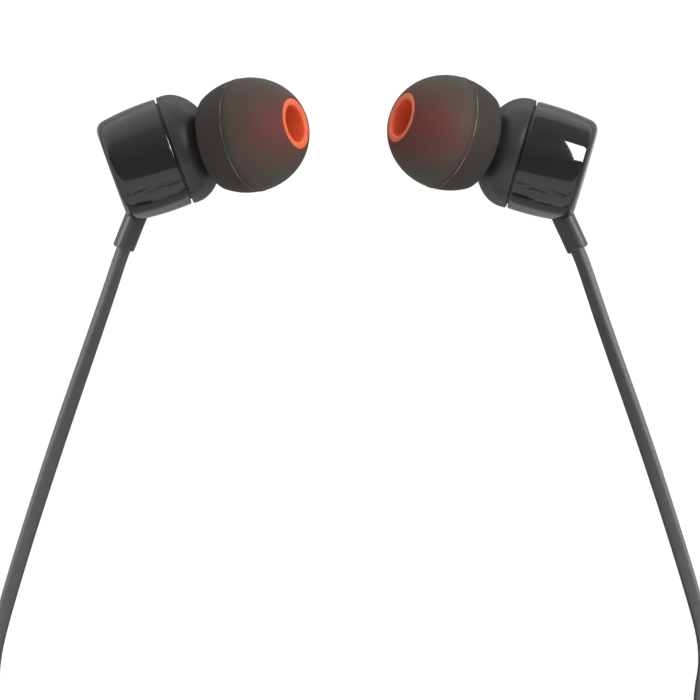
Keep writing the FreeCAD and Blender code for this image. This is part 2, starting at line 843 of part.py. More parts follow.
def cord_nodes(left_exit, left_way, right_exit, right_way):
    """Every stretch of cord, with its ties."""
    down = V(0, -1, 0)
    top = UP * hank_floor
    upper = UP * (hank_floor + layer)
    nodes = {}

    def free(name, points, way):
        edges = rounded([V(*place) for place in points], name)
        nodes[name] = cord_along(edges, V(*points[0]), way, name)

    def level(route, height):
        return [(across, along, height) for across, along in route]

    def hank(name, start, way, side, runs, radii, climbs):
        edges, end, out = wound(start, way, side, runs, radii, climbs)
        nodes[name] = cord_along(edges, start, way, name)
        least_gap(edges, name)
        return end, out

    inner, second, third, outer = inner_turn
    branch_foot = hank_head - branch_run
    branch_runs = [branch_run] * 4 + [branch_run + branch_end_run]
    left_start = V(left_hank_across, left_hank_start, 0) + upper
    free("left_cord", [left_exit, left_exit + left_way * first_straight] + left_route + [left_start], left_way)
    left_runs = [left_hank_start - branch_foot] + branch_runs
    left_end, left_out = hank("left_cord_hank", left_start, down, 1, left_runs,
                              [third, second, inner, inner, second], {3: -layer})
    left_joint = V(splitter_across - branch_spacing / 2, splitter_start, hank_floor)
    free("left_cord_lead", [left_end] + level(left_lead_route, hank_floor) + [left_joint], left_out)

    right_end = V(remote_across, remote_start, remote_height)
    free("right_cord", [right_exit, right_exit + right_way * first_straight] + right_route + [right_end], right_way)
    right_start = V(remote_across, remote_start - remote_length, remote_height)
    right_radius = (remote_across - right_hank_across) / 2
    right_runs = [right_start.y - branch_foot] + branch_runs
    hank_end, right_out = hank("right_cord_hank", right_start, down, -1, right_runs,
                               [right_radius, second, inner, inner, second],
                               {0: upper.z - remote_height, 3: -layer})
    right_joint = V(splitter_across + branch_spacing / 2, splitter_start, hank_floor)
    free("right_cord_lead", [hank_end] + level(right_lead_route, hank_floor) + [right_joint], right_out)

    main_foot = hank_head - main_run
    main_from = V(splitter_across, splitter_start - splitter_length, hank_floor)
    main_start = V(main_hank_across, main_hank_start, 0) + top
    free("main_cord_lead", [main_from] + level(main_lead_route, hank_floor) + [main_start], down)
    last_run = (main_run + tie_width) / 2 + touch
    main_runs = [hank_head - main_hank_start] + [main_run] * 12 + [last_run]
    main_radii = [outer, third, second, inner, inner, second, third]
    main_radii += [third, second, inner, inner, second, third]
    main_end, main_out = hank("main_cord_hank", main_start, V(0, 1, 0), 1, main_runs, main_radii,
                              {4: layer, 7: layer, 10: layer})
    slant = main_end_side / math.sqrt(2)
    low = main_end.y - main_end_drop - main_end_rise
    turn = [(main_end.x, low - main_end_side), (main_end.x + slant, low - main_end_side - slant),
            (plug_across - slant, low - main_end_side - slant), (plug_across, low - main_end_side)]
    rise = [main_end, main_end - V(0, main_end_drop, 0), V(main_end.x, low, plug_height)]
    plug_end = V(plug_across, plug_start, plug_height)
    free("main_cord_end", rise + level(turn, plug_height) + [plug_end], main_out)

    nodes["left_hank_tie"] = hank_tie(left_hank_across, left_hank_across + 2 * third, branch_run, 2)
    nodes["right_hank_tie"] = hank_tie(right_hank_across, right_hank_across + 2 * second, branch_run, 2)
    nodes["main_hank_tie"] = hank_tie(main_hank_across, main_hank_across - 2 * outer, main_run,
                                      main_layer_count)
    return nodes


def build():
    """All nodes by name."""
    pieces = {name: make() for name, make in BUD_PIECES.items()}
    left, left_exit, left_way = place_bud(pieces, left_pose, False)
    right, right_exit, right_way = place_bud(pieces, right_pose, True)
    nodes = {"left_" + name: shape for name, shape in left.items()}
    nodes.update({"right_" + name: shape for name, shape in right.items()})
    nodes.update(cord_nodes(left_exit, left_way, right_exit, right_way))
    nodes["splitter"] = splitter()
    nodes["remote_front_cover"] = remote_front_cover()
    nodes["remote_back_cover"] = remote_back_cover()
    nodes["remote_button"] = remote_button()
    nodes["remote_board"] = remote_board()
    nodes["remote_switch"] = remote_switch()
    nodes["remote_microphone"] = remote_microphone()
    nodes["plug_relief"] = plug_relief()
    nodes["plug_body"] = plug_body()
    nodes["plug_sleeve_contact"] = plug_contact("sleeve")
    nodes["plug_near_ring"] = plug_contact("near_ring")
    nodes["plug_far_ring"] = plug_contact("far_ring")
    nodes["plug_tip_contact"] = plug_tip_contact()
    nodes["plug_insulators"] = plug_insulators()
    return nodes


os.makedirs("parts", exist_ok=True)
for node, shape in build().items():
    if not shape.isValid():
        print("not valid:", node)
    shape.exportStep(os.path.join("parts", node + ".step"))
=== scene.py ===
# %% [markdown]
# # Wired earphones with silicone ear tips
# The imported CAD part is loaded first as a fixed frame. It knows the real sizes, the pieces and the joints.
# This script then gives each piece its looks. A small object seen from close by shows every facet, so the
# outer pieces are made again with smooth surfaces. The parts inside the housing keep their CAD shapes and
# get new materials.

# %% Load the frame
import math
import bpy
from mathutils import Matrix, Vector


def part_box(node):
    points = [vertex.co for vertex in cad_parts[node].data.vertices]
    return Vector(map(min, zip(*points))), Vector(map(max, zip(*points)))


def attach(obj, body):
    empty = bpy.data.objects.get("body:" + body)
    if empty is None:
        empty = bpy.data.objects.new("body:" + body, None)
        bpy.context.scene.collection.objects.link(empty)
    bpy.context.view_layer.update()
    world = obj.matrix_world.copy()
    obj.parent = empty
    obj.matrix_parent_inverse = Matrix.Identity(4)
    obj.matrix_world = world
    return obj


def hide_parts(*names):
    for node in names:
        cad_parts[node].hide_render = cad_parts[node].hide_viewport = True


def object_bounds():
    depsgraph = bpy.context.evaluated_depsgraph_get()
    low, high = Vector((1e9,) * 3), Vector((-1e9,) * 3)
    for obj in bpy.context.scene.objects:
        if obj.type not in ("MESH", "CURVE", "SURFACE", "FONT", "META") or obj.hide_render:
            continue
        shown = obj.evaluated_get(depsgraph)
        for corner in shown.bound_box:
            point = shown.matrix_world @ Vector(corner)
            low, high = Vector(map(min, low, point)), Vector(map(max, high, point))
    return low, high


MM = 0.001


def new_object(name, data):
    """An object in the scene for a camera, a lamp, a curve or a mesh."""
    made = bpy.data.objects.new(name, data)
    bpy.context.scene.collection.objects.link(made)
    return made


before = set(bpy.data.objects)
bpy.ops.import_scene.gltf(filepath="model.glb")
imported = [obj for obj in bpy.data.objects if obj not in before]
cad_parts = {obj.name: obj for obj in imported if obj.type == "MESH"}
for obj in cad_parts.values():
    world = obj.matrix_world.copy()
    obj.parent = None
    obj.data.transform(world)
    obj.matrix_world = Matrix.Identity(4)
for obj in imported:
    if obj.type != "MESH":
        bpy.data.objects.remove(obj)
cad_low, cad_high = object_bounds()
box = [round(side / MM, 1) for side in cad_high - cad_low]
print("CAD nodes", len(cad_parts), "box in mm", box)

# %% [markdown]
# ## Camera
# The photograph looks straight down on the earphones from far away. A camera points down by itself when it
# isn't turned, and a long lens from 0.8 m keeps the view almost parallel. The lens follows from the width
# that the picture shows at the height of the buds.

# %% Camera
VIEW_WIDTH = 73.68 * MM
VIEW_MIDDLE = (0.226 * MM, -19.53 * MM)
CAMERA_HEIGHT = 800 * MM
BUD_HEIGHT = 6 * MM
camera_data = bpy.data.cameras.new("camera")
camera_data.sensor_width = 36
camera_data.lens = camera_data.sensor_width * (CAMERA_HEIGHT - BUD_HEIGHT) / VIEW_WIDTH
camera = new_object("camera", camera_data)
camera.location = (*VIEW_MIDDLE, CAMERA_HEIGHT)
bpy.context.scene.camera = camera
bpy.context.scene.view_settings.view_transform = "Standard"
print("lens", round(camera_data.lens), "mm")

# %% [markdown]
# ## Shader maths
# A material is a graph of nodes, and formulas are easier to read as formulas. Signal wraps the output of a
# node and adds a Math node for every plus, minus or times in Python. Graph holds a tree of nodes, and its
# method node makes any other kind of node. Finish is the graph of one material.

# %% Signals
class Signal:
    """A number that varies over a surface."""

    def __init__(self, graph, socket):
        self.graph = graph
        self.socket = socket

    def maths(self, operation, *values):
        """A Math node on one or two values."""
        return self.graph.node("ShaderNodeMath", {"operation": operation}, dict(enumerate(values)))

    def __add__(self, other):
        return self.maths("ADD", self, other)

    __radd__ = __add__

    def __sub__(self, other):
        return self.maths("SUBTRACT", self, other)

    def __rsub__(self, other):
        return self.maths("SUBTRACT", other, self)

    def __mul__(self, other):
        return self.maths("MULTIPLY", self, other)

    __rmul__ = __mul__

    def size(self):
        """The number without its sign."""
        return self.maths("ABSOLUTE", self)

    def between(self, low, high):
        """0 below low, 1 above high, and a soft step between the two."""
        return self.graph.node("ShaderNodeMapRange", {"interpolation_type": "SMOOTHSTEP"},
                               {"Value": self, "From Min": low, "From Max": high})


def srgb(red, green, blue):
    """A screen colour, 0 to 255, as the linear light that nodes use."""
    linear = []
    for value in (red, green, blue):
        share = value / 255
        linear.append(share / 12.92 if share <= 0.04045 else ((share + 0.055) / 1.055) ** 2.4)
    return (*linear, 1.0)


def grey(level):
    """A grey in linear light, where 1 is white."""
    return (level, level, level, 1)


print("a middle grey in linear light", round(srgb(128, 128, 128)[0], 3))

# %% Graphs
class Graph:
    """A tree of nodes round one shader."""

    def __init__(self, tree, shader):
        self.tree = tree
        self.shader = tree.nodes[shader]

    def set(self, socket, value, of=None):
        """Put a number, a colour or a signal on a socket."""
        target = (of or self.shader).inputs[socket]
        if isinstance(value, Signal):
            self.tree.links.new(value.socket, target)
        else:
            target.default_value = value

    def node(self, kind, settings=None, values=None, output=0):
        """Any node: its settings first, then the values or links of its sockets."""
        made = self.tree.nodes.new(kind)
        for name, value in (settings or {}).items():
            if name == "stops":
                ramp = made.color_ramp
                while len(ramp.elements) < len(value):
                    ramp.elements.new(0.5)
                for element, (place, color) in zip(ramp.elements, value):
                    element.position = place
                    element.color = color
            else:
                setattr(made, name, value)
        for socket, value in (values or {}).items():
            self.set(socket, value, made)
        return Signal(self, made.outputs[output])

    def place(self):
        """The place on the object, in metres."""
        return self.node("ShaderNodeTexCoord", output="Object")

    def along_axis(self, vector, axis):
        """The part of a vector along X, Y or Z."""
        return self.node("ShaderNodeSeparateXYZ", None, {0: vector}, axis)

    def rays(self, kind):
        """1 for rays of a kind, such as Camera or Glossy, and 0 for all others."""
        return self.node("ShaderNodeLightPath", output=f"Is {kind} Ray")

    def noise(self, size, detail=3, roughness=0.55, stretch=(1, 1, 1)):
        """Soft random spots of about this size in millimetres, from 0 to 1."""
        scaled = self.node("ShaderNodeMapping", None, {"Vector": self.place(), "Scale": stretch})
        values = {"Vector": scaled, "Scale": 1 / (size * MM), "Detail": detail, "Roughness": roughness}
        return self.node("ShaderNodeTexNoise", None, values, "Fac")

    def blend(self, share, first, second):
        """The first colour where share is 0 and the second where it is 1."""
        return self.node("ShaderNodeMix", {"data_type": "RGBA"}, {0: share, 6: first, 7: second}, 2)


print("graphs ready")

# %% Finish of one material
class Finish(Graph):
    """One material: a shader with its even numbers, and the nodes that vary it."""

    def __init__(self, name, slot, color, roughness, **numbers):
        self.slot = slot
        self.material = bpy.data.materials.new(name)
        self.material.use_nodes = True
        super().__init__(self.material.node_tree, "Principled BSDF")
        self.set("Base Color", color)
        self.set("Roughness", roughness)
        for socket, value in numbers.items():
            self.set(socket.replace("_", " "), value)

    def stored(self, name):
        """A number that was stored on the vertices of the mesh."""
        return self.node("ShaderNodeAttribute", {"attribute_name": name}, output="Fac")

    def bump(self, height, depth, strength=1.0):
        """Raise the surface by height times depth in millimetres."""
        values = {"Height": height, "Distance": depth * MM, "Strength": strength}
        self.set("Normal", self.node("ShaderNodeBump", None, values))

    def vary(self, share, first, second, roughness, change):
        """Let one signal blend two colours and raise the roughness by up to a change."""
        self.set("Base Color", self.blend(share, first, second))
        self.set("Roughness", roughness + share * change)


print("finishes ready")

# %% [markdown]
# ## Finishes of the housing
# The rear shell is polished black plastic. Its own colour hardly shows: what the eye sees is the studio in
# its clear skin, which is smooth, with faint wipe marks. The front shell is the same plastic with a fine
# satin texture, which spreads the light into soft grey.

# %% Housing finishes
polished_black = Finish("polished_black", "rear_gloss", srgb(33, 33, 33), 0.1,
                        Coat_Weight=1.0, Coat_Roughness=0.03, Specular_IOR_Level=0.05)
wipes = polished_black.noise(2.4, 4, stretch=(1, 2.2, 1))
dust = polished_black.noise(0.16, 2).between(0.70, 0.78)
polished_black.set("Roughness", 0.09 + wipes.between(0.45, 0.8) * 0.12 + dust * 0.25)
polished_black.set("Base Color", polished_black.blend(dust * 0.35, srgb(33, 33, 33), srgb(92, 90, 88)))
polished_black.bump(polished_black.noise(3.0, 1), 0.01, 0.35)

satin_black = Finish("satin_black", "front_satin", srgb(56, 56, 58), 0.36, Specular_IOR_Level=0.4)
satin_black.vary(satin_black.noise(1.6, 4), srgb(50, 50, 50), srgb(60, 59, 59), 0.3, 0.12)
satin_black.bump(satin_black.noise(0.11, 2), 0.02, 0.7)
print("housing finishes", polished_black.material.name, satin_black.material.name)

# %% [markdown]
# ## Finishes of the ear tip
# The tip is two silicones: an orange core, and a smoke-grey skin moulded over it that lets some light
# through. Here the skin is opaque, and the red of the core showing through it is a painted glow in its
# colour. How much glow is painted, and how far along the tip a place is, are numbers stored on the skin's
# vertices, so the red stays free of noise and survives an export. Behind its widest place the skin is
# painted darker than before it, a painted shade.

# %% Ear tip finishes
orange_silicone = Finish("orange_silicone", "tip_core", srgb(244, 110, 68), 0.36,
                         Subsurface_Weight=0.25, Subsurface_Scale=0.8 * MM)
orange_silicone.vary(orange_silicone.noise(0.9, 4), srgb(238, 98, 58), srgb(250, 118, 74), 0.3, 0.14)
orange_silicone.bump(orange_silicone.noise(0.12, 2), 0.006, 0.4)

WIDEST = 9.31
smoke_silicone = Finish("smoke_silicone", "tip_dome", srgb(84, 77, 71), 0.6, Specular_IOR_Level=0.2)
along = smoke_silicone.stored("along")
cloud = smoke_silicone.noise(2.2, 4)
# Painted shade: behind its widest place the skin is painted darker than before it.
behind = smoke_silicone.blend(cloud, srgb(56, 52, 49), srgb(64, 59, 56))
before = smoke_silicone.blend(cloud, srgb(74, 68, 63), srgb(82, 75, 69))
shaded_skin_tone = smoke_silicone.blend(along.between(9.2, 10.2), behind, before)
# A painted glow: the red of the core is painted into the skin where the stored number is high.
painted_glow_tone = smoke_silicone.blend(smoke_silicone.stored("glow"), shaded_skin_tone, srgb(106, 56, 50))
line = 1 - (along - WIDEST).size().between(0.03, 0.07)
faint = smoke_silicone.noise(1.8, 1).between(0.4, 0.62) * 0.6 + 0.2
smoke_silicone.set("Base Color", smoke_silicone.blend(line * faint, painted_glow_tone, srgb(140, 134, 126)))
smoke_silicone.set("Roughness", 0.56 + cloud * 0.12)
smoke_silicone.bump(smoke_silicone.noise(0.15, 2), 0.006, 0.4)
print("ear tip finishes", orange_silicone.material.name, smoke_silicone.material.name)

# %% [markdown]
# ## Finishes of the cord
# The jacket and the sleeves are soft rubber: dark grey, hardly glossy, with a fine grain that holds a little
# dust. One noise drives colour and roughness together, since dusty spots are both paler and duller.

# %% Cord finishes
def soft_rubber(name, slot, dark, pale, roughness, grain):
    """A soft rubber between two colours, with a grain of a size in millimetres."""
    rubber = Finish(name, slot, dark, roughness,
                    Specular_IOR_Level=0.35, Sheen_Weight=0.08, Sheen_Roughness=0.5)
    rubber.vary(rubber.noise(1.1, 4), dark, pale, roughness, 0.12)
    rubber.bump(rubber.noise(grain, 3), 0.012, 0.5)
    return rubber


cord_jacket = soft_rubber("cord_jacket", "cord", srgb(64, 64, 62), srgb(76, 76, 74), 0.56, 0.12)
sleeve_rubber = soft_rubber("sleeve_rubber", "sleeve", srgb(50, 49, 47), srgb(62, 61, 58), 0.36, 0.16)
tie_rubber = soft_rubber("tie_rubber", "tie", srgb(44, 44, 45), srgb(56, 56, 56), 0.5, 0.2)
grip_rubber = soft_rubber("grip_rubber", "sleeve", srgb(52, 52, 53), srgb(62, 62, 62), 0.44, 0.14)
print("rubbers", [rubber.slot for rubber in (cord_jacket, sleeve_rubber, tie_rubber, grip_rubber)])

# %% [markdown]
# ## Finishes of the remote, the plug and the parts inside
# Metals are told apart by their tint and by how they were worked: turned, plated, stamped or wound. A
# small helper makes a metal with scratches that are long one way and short the other. The plastics and the
# circuit board get the texture of the tool that made them.

# %% Metals
def worked_metal(name, slot, color, roughness, stretch, scratch=0.05):
    """A metal with fine marks, drawn out along the direction that stretch makes short."""
    metal = Finish(name, slot, color, roughness, Metallic=1.0)
    marks = metal.noise(scratch, 4, 0.7, stretch)
    worn = tuple(value * 0.72 for value in color[:3]) + (1.0,)
    metal.set("Base Color", metal.blend(marks * 0.6, color, worn))
    metal.set("Roughness", roughness + marks * 0.2)
    metal.bump(marks, 0.004, 0.5)
    return metal


mesh_steel = worked_metal("mesh_steel", "mesh", srgb(176, 176, 178), 0.28, (1, 1, 1))
yoke_steel = worked_metal("yoke_steel", "yoke", srgb(168, 168, 170), 0.3, (0.2, 1, 1))
magnet_nickel = worked_metal("magnet_nickel", "magnet", srgb(196, 192, 184), 0.16, (1, 1, 1), 0.2)
cover_alloy = worked_metal("cover_alloy", "cover", srgb(190, 190, 192), 0.34, (1, 0.2, 1))
knot_alloy = worked_metal("knot_alloy", "knot", srgb(172, 170, 166), 0.36, (1, 1, 1), 0.12)
plug_gold = worked_metal("plug_gold", "contact", srgb(226, 186, 104), 0.18, (1, 0.15, 1))
print("metals made, materials so far", len(bpy.data.materials))

# %% Coil, film and board
voice_copper = Finish("voice_copper", "copper", srgb(196, 108, 62), 0.3, Metallic=1.0)
wire_values = {"Vector": voice_copper.place(), "Scale": 1 / (0.35 * MM)}
wires = voice_copper.node("ShaderNodeTexWave", {"bands_direction": "X"}, wire_values, "Fac")
voice_copper.set("Base Color", voice_copper.blend(wires, srgb(120, 52, 26), srgb(214, 128, 76)))
voice_copper.bump(wires, 0.02)

film_clear = Finish("film_clear", "film", srgb(196, 188, 170), 0.2, Alpha=0.7)
film_waves = film_clear.noise(0.5, 3)
film_clear.set("Roughness", 0.14 + film_waves * 0.16)
film_clear.bump(film_waves, 0.01, 0.4)

green_mask = Finish("green_mask", "board", srgb(34, 96, 58), 0.3, Coat_Weight=0.4)
track_values = {"Vector": green_mask.place(), "Scale": 1 / (1.6 * MM), "Mortar Size": 0.06,
                "Color1": grey(0), "Color2": grey(0.25), "Mortar": grey(1)}
tracks = green_mask.node("ShaderNodeTexBrick", None, track_values, "Color")
green_mask.set("Base Color", green_mask.blend(tracks, srgb(26, 84, 48), srgb(74, 140, 88)))
green_mask.bump(tracks, 0.015)
print("coil, film and board made")

# %% Plastics
def moulded_plastic(name, slot, dark, pale, roughness, grain, depth=0.01):
    """A plastic with the fine texture of its mould."""
    plastic = Finish(name, slot, dark, roughness)
    plastic.vary(plastic.noise(1.3, 3), dark, pale, roughness, 0.08)
    plastic.bump(plastic.noise(grain, 2), depth, 0.5)
    return plastic


driver_plastic = moulded_plastic("driver_plastic", "driver_plastic", srgb(44, 44, 46), srgb(56, 56, 58), 0.4,
                                 0.08)
case_plastic = moulded_plastic("case_plastic", "remote_case", srgb(46, 46, 48), srgb(58, 58, 60), 0.44, 0.1,
                               0.014)
button_gloss = moulded_plastic("button_gloss", "button", srgb(30, 30, 31), srgb(38, 38, 40), 0.14, 0.4, 0.004)
ring_black = moulded_plastic("ring_black", "insulator", srgb(24, 24, 25), srgb(34, 34, 35), 0.24, 0.1)
print("small part finishes made:", len(bpy.data.materials))

# %% [markdown]
# ## Working in edit mode
# Blender's operators act on whatever is selected, in the mode that is on, and after the frame is loaded all
# its nodes are selected. So every step makes one piece the only selected one. These helpers switch between
# object and edit mode, and pick faces or edges by a rule on their place.

# %% Edit helpers
def only(piece):
    """Make a piece the only selected one, and the active one."""
    bpy.ops.object.select_all(action="DESELECT")
    piece.select_set(True)
    bpy.context.view_layer.objects.active = piece


def start_piece(name, add, **settings):
    """Add a primitive as a new piece, with its size and place applied."""
    bpy.ops.object.select_all(action="DESELECT")
    add(**settings)
    piece = bpy.context.active_object
    piece.name = piece.data.name = name
    bpy.ops.object.transform_apply()
    return piece


def pick(piece, kind, rule):
    """Select the faces or edges whose place, and normal or direction, fit a rule."""
    only(piece)
    bpy.ops.object.mode_set(mode="EDIT")
    bpy.ops.mesh.select_mode(type=kind)
    bpy.ops.mesh.select_all(action="DESELECT")
    bpy.ops.object.mode_set(mode="OBJECT")
    mesh = piece.data
    if kind == "FACE":
        for face in mesh.polygons:
            face.select = rule(face.center / MM, face.normal)
    else:
        for edge in mesh.edges:
            first, last = (mesh.vertices[number].co / MM for number in edge.vertices)
            edge.select = rule((first + last) / 2, (last - first).normalized())
    bpy.ops.object.mode_set(mode="EDIT")


def done():
    """Back to object mode, with the active piece."""
    bpy.ops.object.mode_set(mode="OBJECT")
    return bpy.context.active_object


def bevel_edges(piece, offset, segments, rule):
    """Round the edges whose place and direction fit a rule."""
    pick(piece, "EDGE", rule)
    bpy.ops.mesh.bevel(offset=offset * MM, segments=segments, affect="EDGES")
    return done()


def delete_faces(piece, rule):
    """Take the faces away whose place and normal fit a rule."""
    pick(piece, "FACE", rule)
    bpy.ops.mesh.delete(type="FACE")
    return done()


def join_to(piece, other):
    """Make another mesh a part of a piece."""
    only(piece)
    other.select_set(True)
    bpy.ops.object.join()


print("edit helpers ready")

# %% Volumes and modifiers
def volume(piece):
    """Signed volume in cubic millimetres, below zero where the faces point inwards."""
    piece.data.calc_loop_triangles()
    total = 0
    for triangle in piece.data.loop_triangles:
        a, b, c = (piece.data.vertices[number].co for number in triangle.vertices)
        total += a.dot(b.cross(c))
    return total / 6 / MM ** 3


def face_outwards(piece):
    """Turn all faces round where the piece is inside out."""
    if volume(piece) < 0:
        pick(piece, "FACE", lambda at, normal: True)
        bpy.ops.mesh.flip_normals()
        done()
    return piece


def apply_modifier(piece, kind, **settings):
    """Add a modifier, set it, and apply it at once."""
    only(piece)
    modifier = piece.modifiers.new(kind.lower(), kind)
    for name, value in settings.items():
        setattr(modifier, name, value)
    bpy.ops.object.modifier_apply(modifier=modifier.name)
    return piece


def carve(piece, cutter, operation="DIFFERENCE"):
    """Cut a piece with another one, or unite the two, and take the other one away."""
    apply_modifier(piece, "BOOLEAN", object=cutter, operation=operation, solver="EXACT")
    bpy.data.objects.remove(cutter)
    return piece


print("modifier helpers ready")

# %% [markdown]
# ## Turned forms
# A housing, a tip or a plug is round about its axis, like something turned on a lathe. It starts as a
# circle, whose edge is extruded again and again, and each new ring is moved along the axis and resized. An
# outline gives the place and the radius of each ring. The ends are closed with caps, or the last ring is
# joined to the first one for a wall with a hole through it. Spin would do it too, but rings are easier to
# place with measured numbers.

# %% Turned forms
def turned(name, outline, steps=96, ends="caps"):
    """A form about X from (along, radius) places in millimetres, with caps or closed into a tube."""
    along, radius = outline[0]
    piece = start_piece(name, bpy.ops.mesh.primitive_circle_add, vertices=steps, radius=radius * MM,
                        location=(along * MM, 0, 0), rotation=(0, math.pi / 2, 0))
    bpy.ops.object.mode_set(mode="EDIT")
    bpy.ops.mesh.select_mode(type="EDGE")
    bpy.ops.mesh.select_all(action="SELECT")
    if ends == "caps":
        bpy.ops.mesh.edge_face_add()
        bpy.ops.mesh.select_all(action="SELECT")
    for (along, radius), (next_along, next_radius) in zip(outline, outline[1:]):
        bpy.ops.mesh.extrude_edges_move()
        bpy.ops.transform.translate(value=((next_along - along) * MM, 0, 0))
        share = next_radius / radius
        bpy.ops.transform.resize(value=(1, share, share), center_override=(next_along * MM, 0, 0))
    if ends == "caps":
        bpy.ops.mesh.edge_face_add()
    bpy.ops.mesh.select_all(action="SELECT")
    bpy.ops.mesh.remove_doubles(threshold=0.002 * MM)
    done()
    return face_outwards(piece)


print("turned forms start with a circle and end as a solid")

# %% [markdown]
# ## Where the buds lie
# A bud is modelled once, about its own axis, and then laid down twice. The left one is moved and turned. The
# right one is also mirrored, which turns its faces inside out, so they are turned back. The place is applied
# to the mesh, because the export puts every object at the origin. The nozzle and the sleeve have places of
# their own in the bud.

# %% Places
def turn(axis, degrees):
    """A turn about X, Y or Z."""
    return Matrix.Rotation(math.radians(degrees), 4, axis)


def move(*place):
    """A move to a place in millimetres."""
    return Matrix.Translation(Vector(place) * MM)


MIRRORED = Matrix.Scale(-1, 4, (1, 0, 0))
BUDS = {
    "left": move(-18.41, 1.38, 5.8921) @ turn("Z", 20) @ turn("Y", 0.6) @ turn("X", 12.5),
    "right": MIRRORED @ move(-18.41, 1.03, 5.9147) @ turn("Z", 16.4) @ turn("Y", 2.5) @ turn("X", -1.9),
}
NOZZLE = move(0, -0.3, 0) @ turn("Y", -29.1)
CORD_EXIT = move(-1.46, 0, 0) @ turn("Z", 48.8 - 180)
SLEEVE = CORD_EXIT @ turn("X", -36)


def lay_down(piece, place):
    """Apply a place to the mesh of a piece."""
    only(piece)
    piece.matrix_world = place
    bpy.ops.object.transform_apply()
    return face_outwards(piece)


def copy_of(piece, name):
    """A copy with its own mesh."""
    twin = new_object(name, piece.data.copy())
    twin.data.name = name
    return twin


def dress(piece, finish, nodes, sharp=32, body="earphones"):
    """Shade a finished piece, and say what it is made of, what it rides on and what it stands for."""
    only(piece)
    bpy.ops.object.shade_smooth_by_angle(angle=math.radians(sharp))
    piece.data.materials.clear()
    piece.data.materials.append(finish.material)
    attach(piece, body)
    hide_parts(*nodes)
    return piece


def pair(piece, name, finish, sharp, body="earphones"):
    """Lay a bud's piece down as the left and the right one."""
    for side, place in BUDS.items():
        twin = lay_down(copy_of(piece, side + "_" + name + "_look"), place)
        dress(twin, finish, [side + "_" + name], sharp, body.format(side=side))
    print(name, "faces", len(piece.data.polygons), "volume", round(volume(piece), 1), "mm3")
    bpy.data.objects.remove(piece)


# %% [markdown]
# ## Rear shell
# The polished barrel swells a little behind the seam and ends in a tight corner and a flat back. It is
# hollow, with a step inside the mouth where the front shell plugs in. One outline runs from the middle of
# the inner wall out through the mouth and back to the middle of the outer wall. A Boolean modifier takes a
# bar away for the sleeve, and a wider, shallow one for the dark rim round it.

# %% Rear shell
def bar(name, start, end, width, thickness, rounding, segments):
    """A bar along X with its four long edges rounded."""
    middle, length = (start + end) / 2, end - start
    piece = start_piece(name, bpy.ops.mesh.primitive_cube_add, size=1, location=(middle * MM, 0, 0),
                        scale=(length * MM, width * MM, thickness * MM))
    return bevel_edges(piece, rounding, segments, lambda at, way: abs(way.x) > 0.9)


def barrel_radius(along):
    """Radius of the barrel at a place behind the seam, as fitted to its outline in the photograph."""
    return 5.83 - 0.0531 * along - 0.0176 * along ** 2


MOUTH_EDGE = -0.1
BARREL_LENGTH = 5.82
CORNER_RADIUS = 1.08
CORNER_BEGINS = 8.7
mouth = [(0, 5.37), (0, 5.72), (-0.015, 5.77), (-0.05, 5.81), (MOUTH_EDGE, barrel_radius(MOUTH_EDGE))]
barrel = []
for step in range(1, 19):
    along = MOUTH_EDGE - BARREL_LENGTH * step / 18
    barrel.append((along, barrel_radius(along)))
back_corner = []
for step in range(1, 9):
    angle = math.radians(CORNER_BEGINS + (90 - CORNER_BEGINS) * step / 8)
    back_corner.append((-5.77 - CORNER_RADIUS * math.sin(angle), 4.447 + CORNER_RADIUS * math.cos(angle)))
back = [(-6.85, 2.4), (-6.85, 0.6)]
inside = [(-5.71, 0.6), (-5.71, 3.6), (-5.5, 4.1), (-5.0, 4.55), (-4.6, 4.7), (-1.25, 4.7), (-1.25, 5.37)]
rear_shell = turned("rear_shell", inside + mouth + barrel + back_corner + back, 128)
carve(rear_shell, lay_down(bar("sleeve_hole", 3.0, 12, 2.48, 1.69, 0.73, 7), SLEEVE))
carve(rear_shell, lay_down(bar("sleeve_recess", 6.35, 12, 2.88, 2.09, 0.9, 7), SLEEVE))
pair(rear_shell, "rear_shell", polished_black, 30)

# %% [markdown]
# ## Front shell
# The front shell is a satin dome. Behind, a spigot goes into the rear shell, and in front the nozzle leans
# towards the ear canal. The dome and the nozzle are two turned forms about two axes, joined by a Boolean
# modifier. The room for the driver and the sound bore are then taken away the same way.

# %% Front shell
def oval(middle, half_length, half_width, first, last, steps):
    """Places on an ellipse about the axis, between two angles in degrees from its widest place."""
    places = []
    for step in range(steps + 1):
        angle = math.radians(first + (last - first) * step / steps)
        places.append((middle + half_length * math.sin(angle), half_width * math.cos(angle)))
    return places


def angle_at(radius, half_width):
    """The angle at which an ellipse has come down to a radius."""
    return math.degrees(math.acos(radius / half_width))


DOME_RADIUS = 5.89
brow = [(0.18, 5.35), (0.18, 5.74), (0.2, 5.81), (0.25, 5.87), (0.33, DOME_RADIUS)]
dome = oval(0.77, 4.03, DOME_RADIUS, 0, angle_at(2.2, DOME_RADIUS), 22)
spigot = [(-1.2, 0.6), (-1.2, 5.25), (-1.1, 5.35)]
front_shell = turned("front_shell", spigot + brow + dome + [(dome[-1][0], 0.6)], 128)
neck = [(1.5, 0.6), (1.5, 4.0), (2.4, 3.9), (3.0, 3.62), (3.7, 3.32), (4.6, 3.06), (5.5, 2.95), (5.7, 2.85)]
neck += [(5.7, 2.05), (8.9, 2.05), (8.9, 2.22), (8.98, 2.3), (9.4, 2.3), (9.54, 2.24), (9.6, 2.1), (9.6, 0.6)]
carve(front_shell, lay_down(turned("neck", neck, 96), NOZZLE), "UNION")
driver_room = [(-1.4, 0.6), (-1.4, 4.53), (1.0, 4.53), (1.0, 4.0), (3.5, 2.2), (3.5, 0.6)]
carve(front_shell, turned("driver_room", driver_room, 96))
bore = [(2.9, 0.6), (2.9, 1.45), (9.3, 1.45), (9.3, 1.75), (9.9, 1.75), (9.9, 0.6)]
carve(front_shell, lay_down(turned("bore", bore, 64), NOZZLE))
pair(front_shell, "front_shell", satin_black, 30)

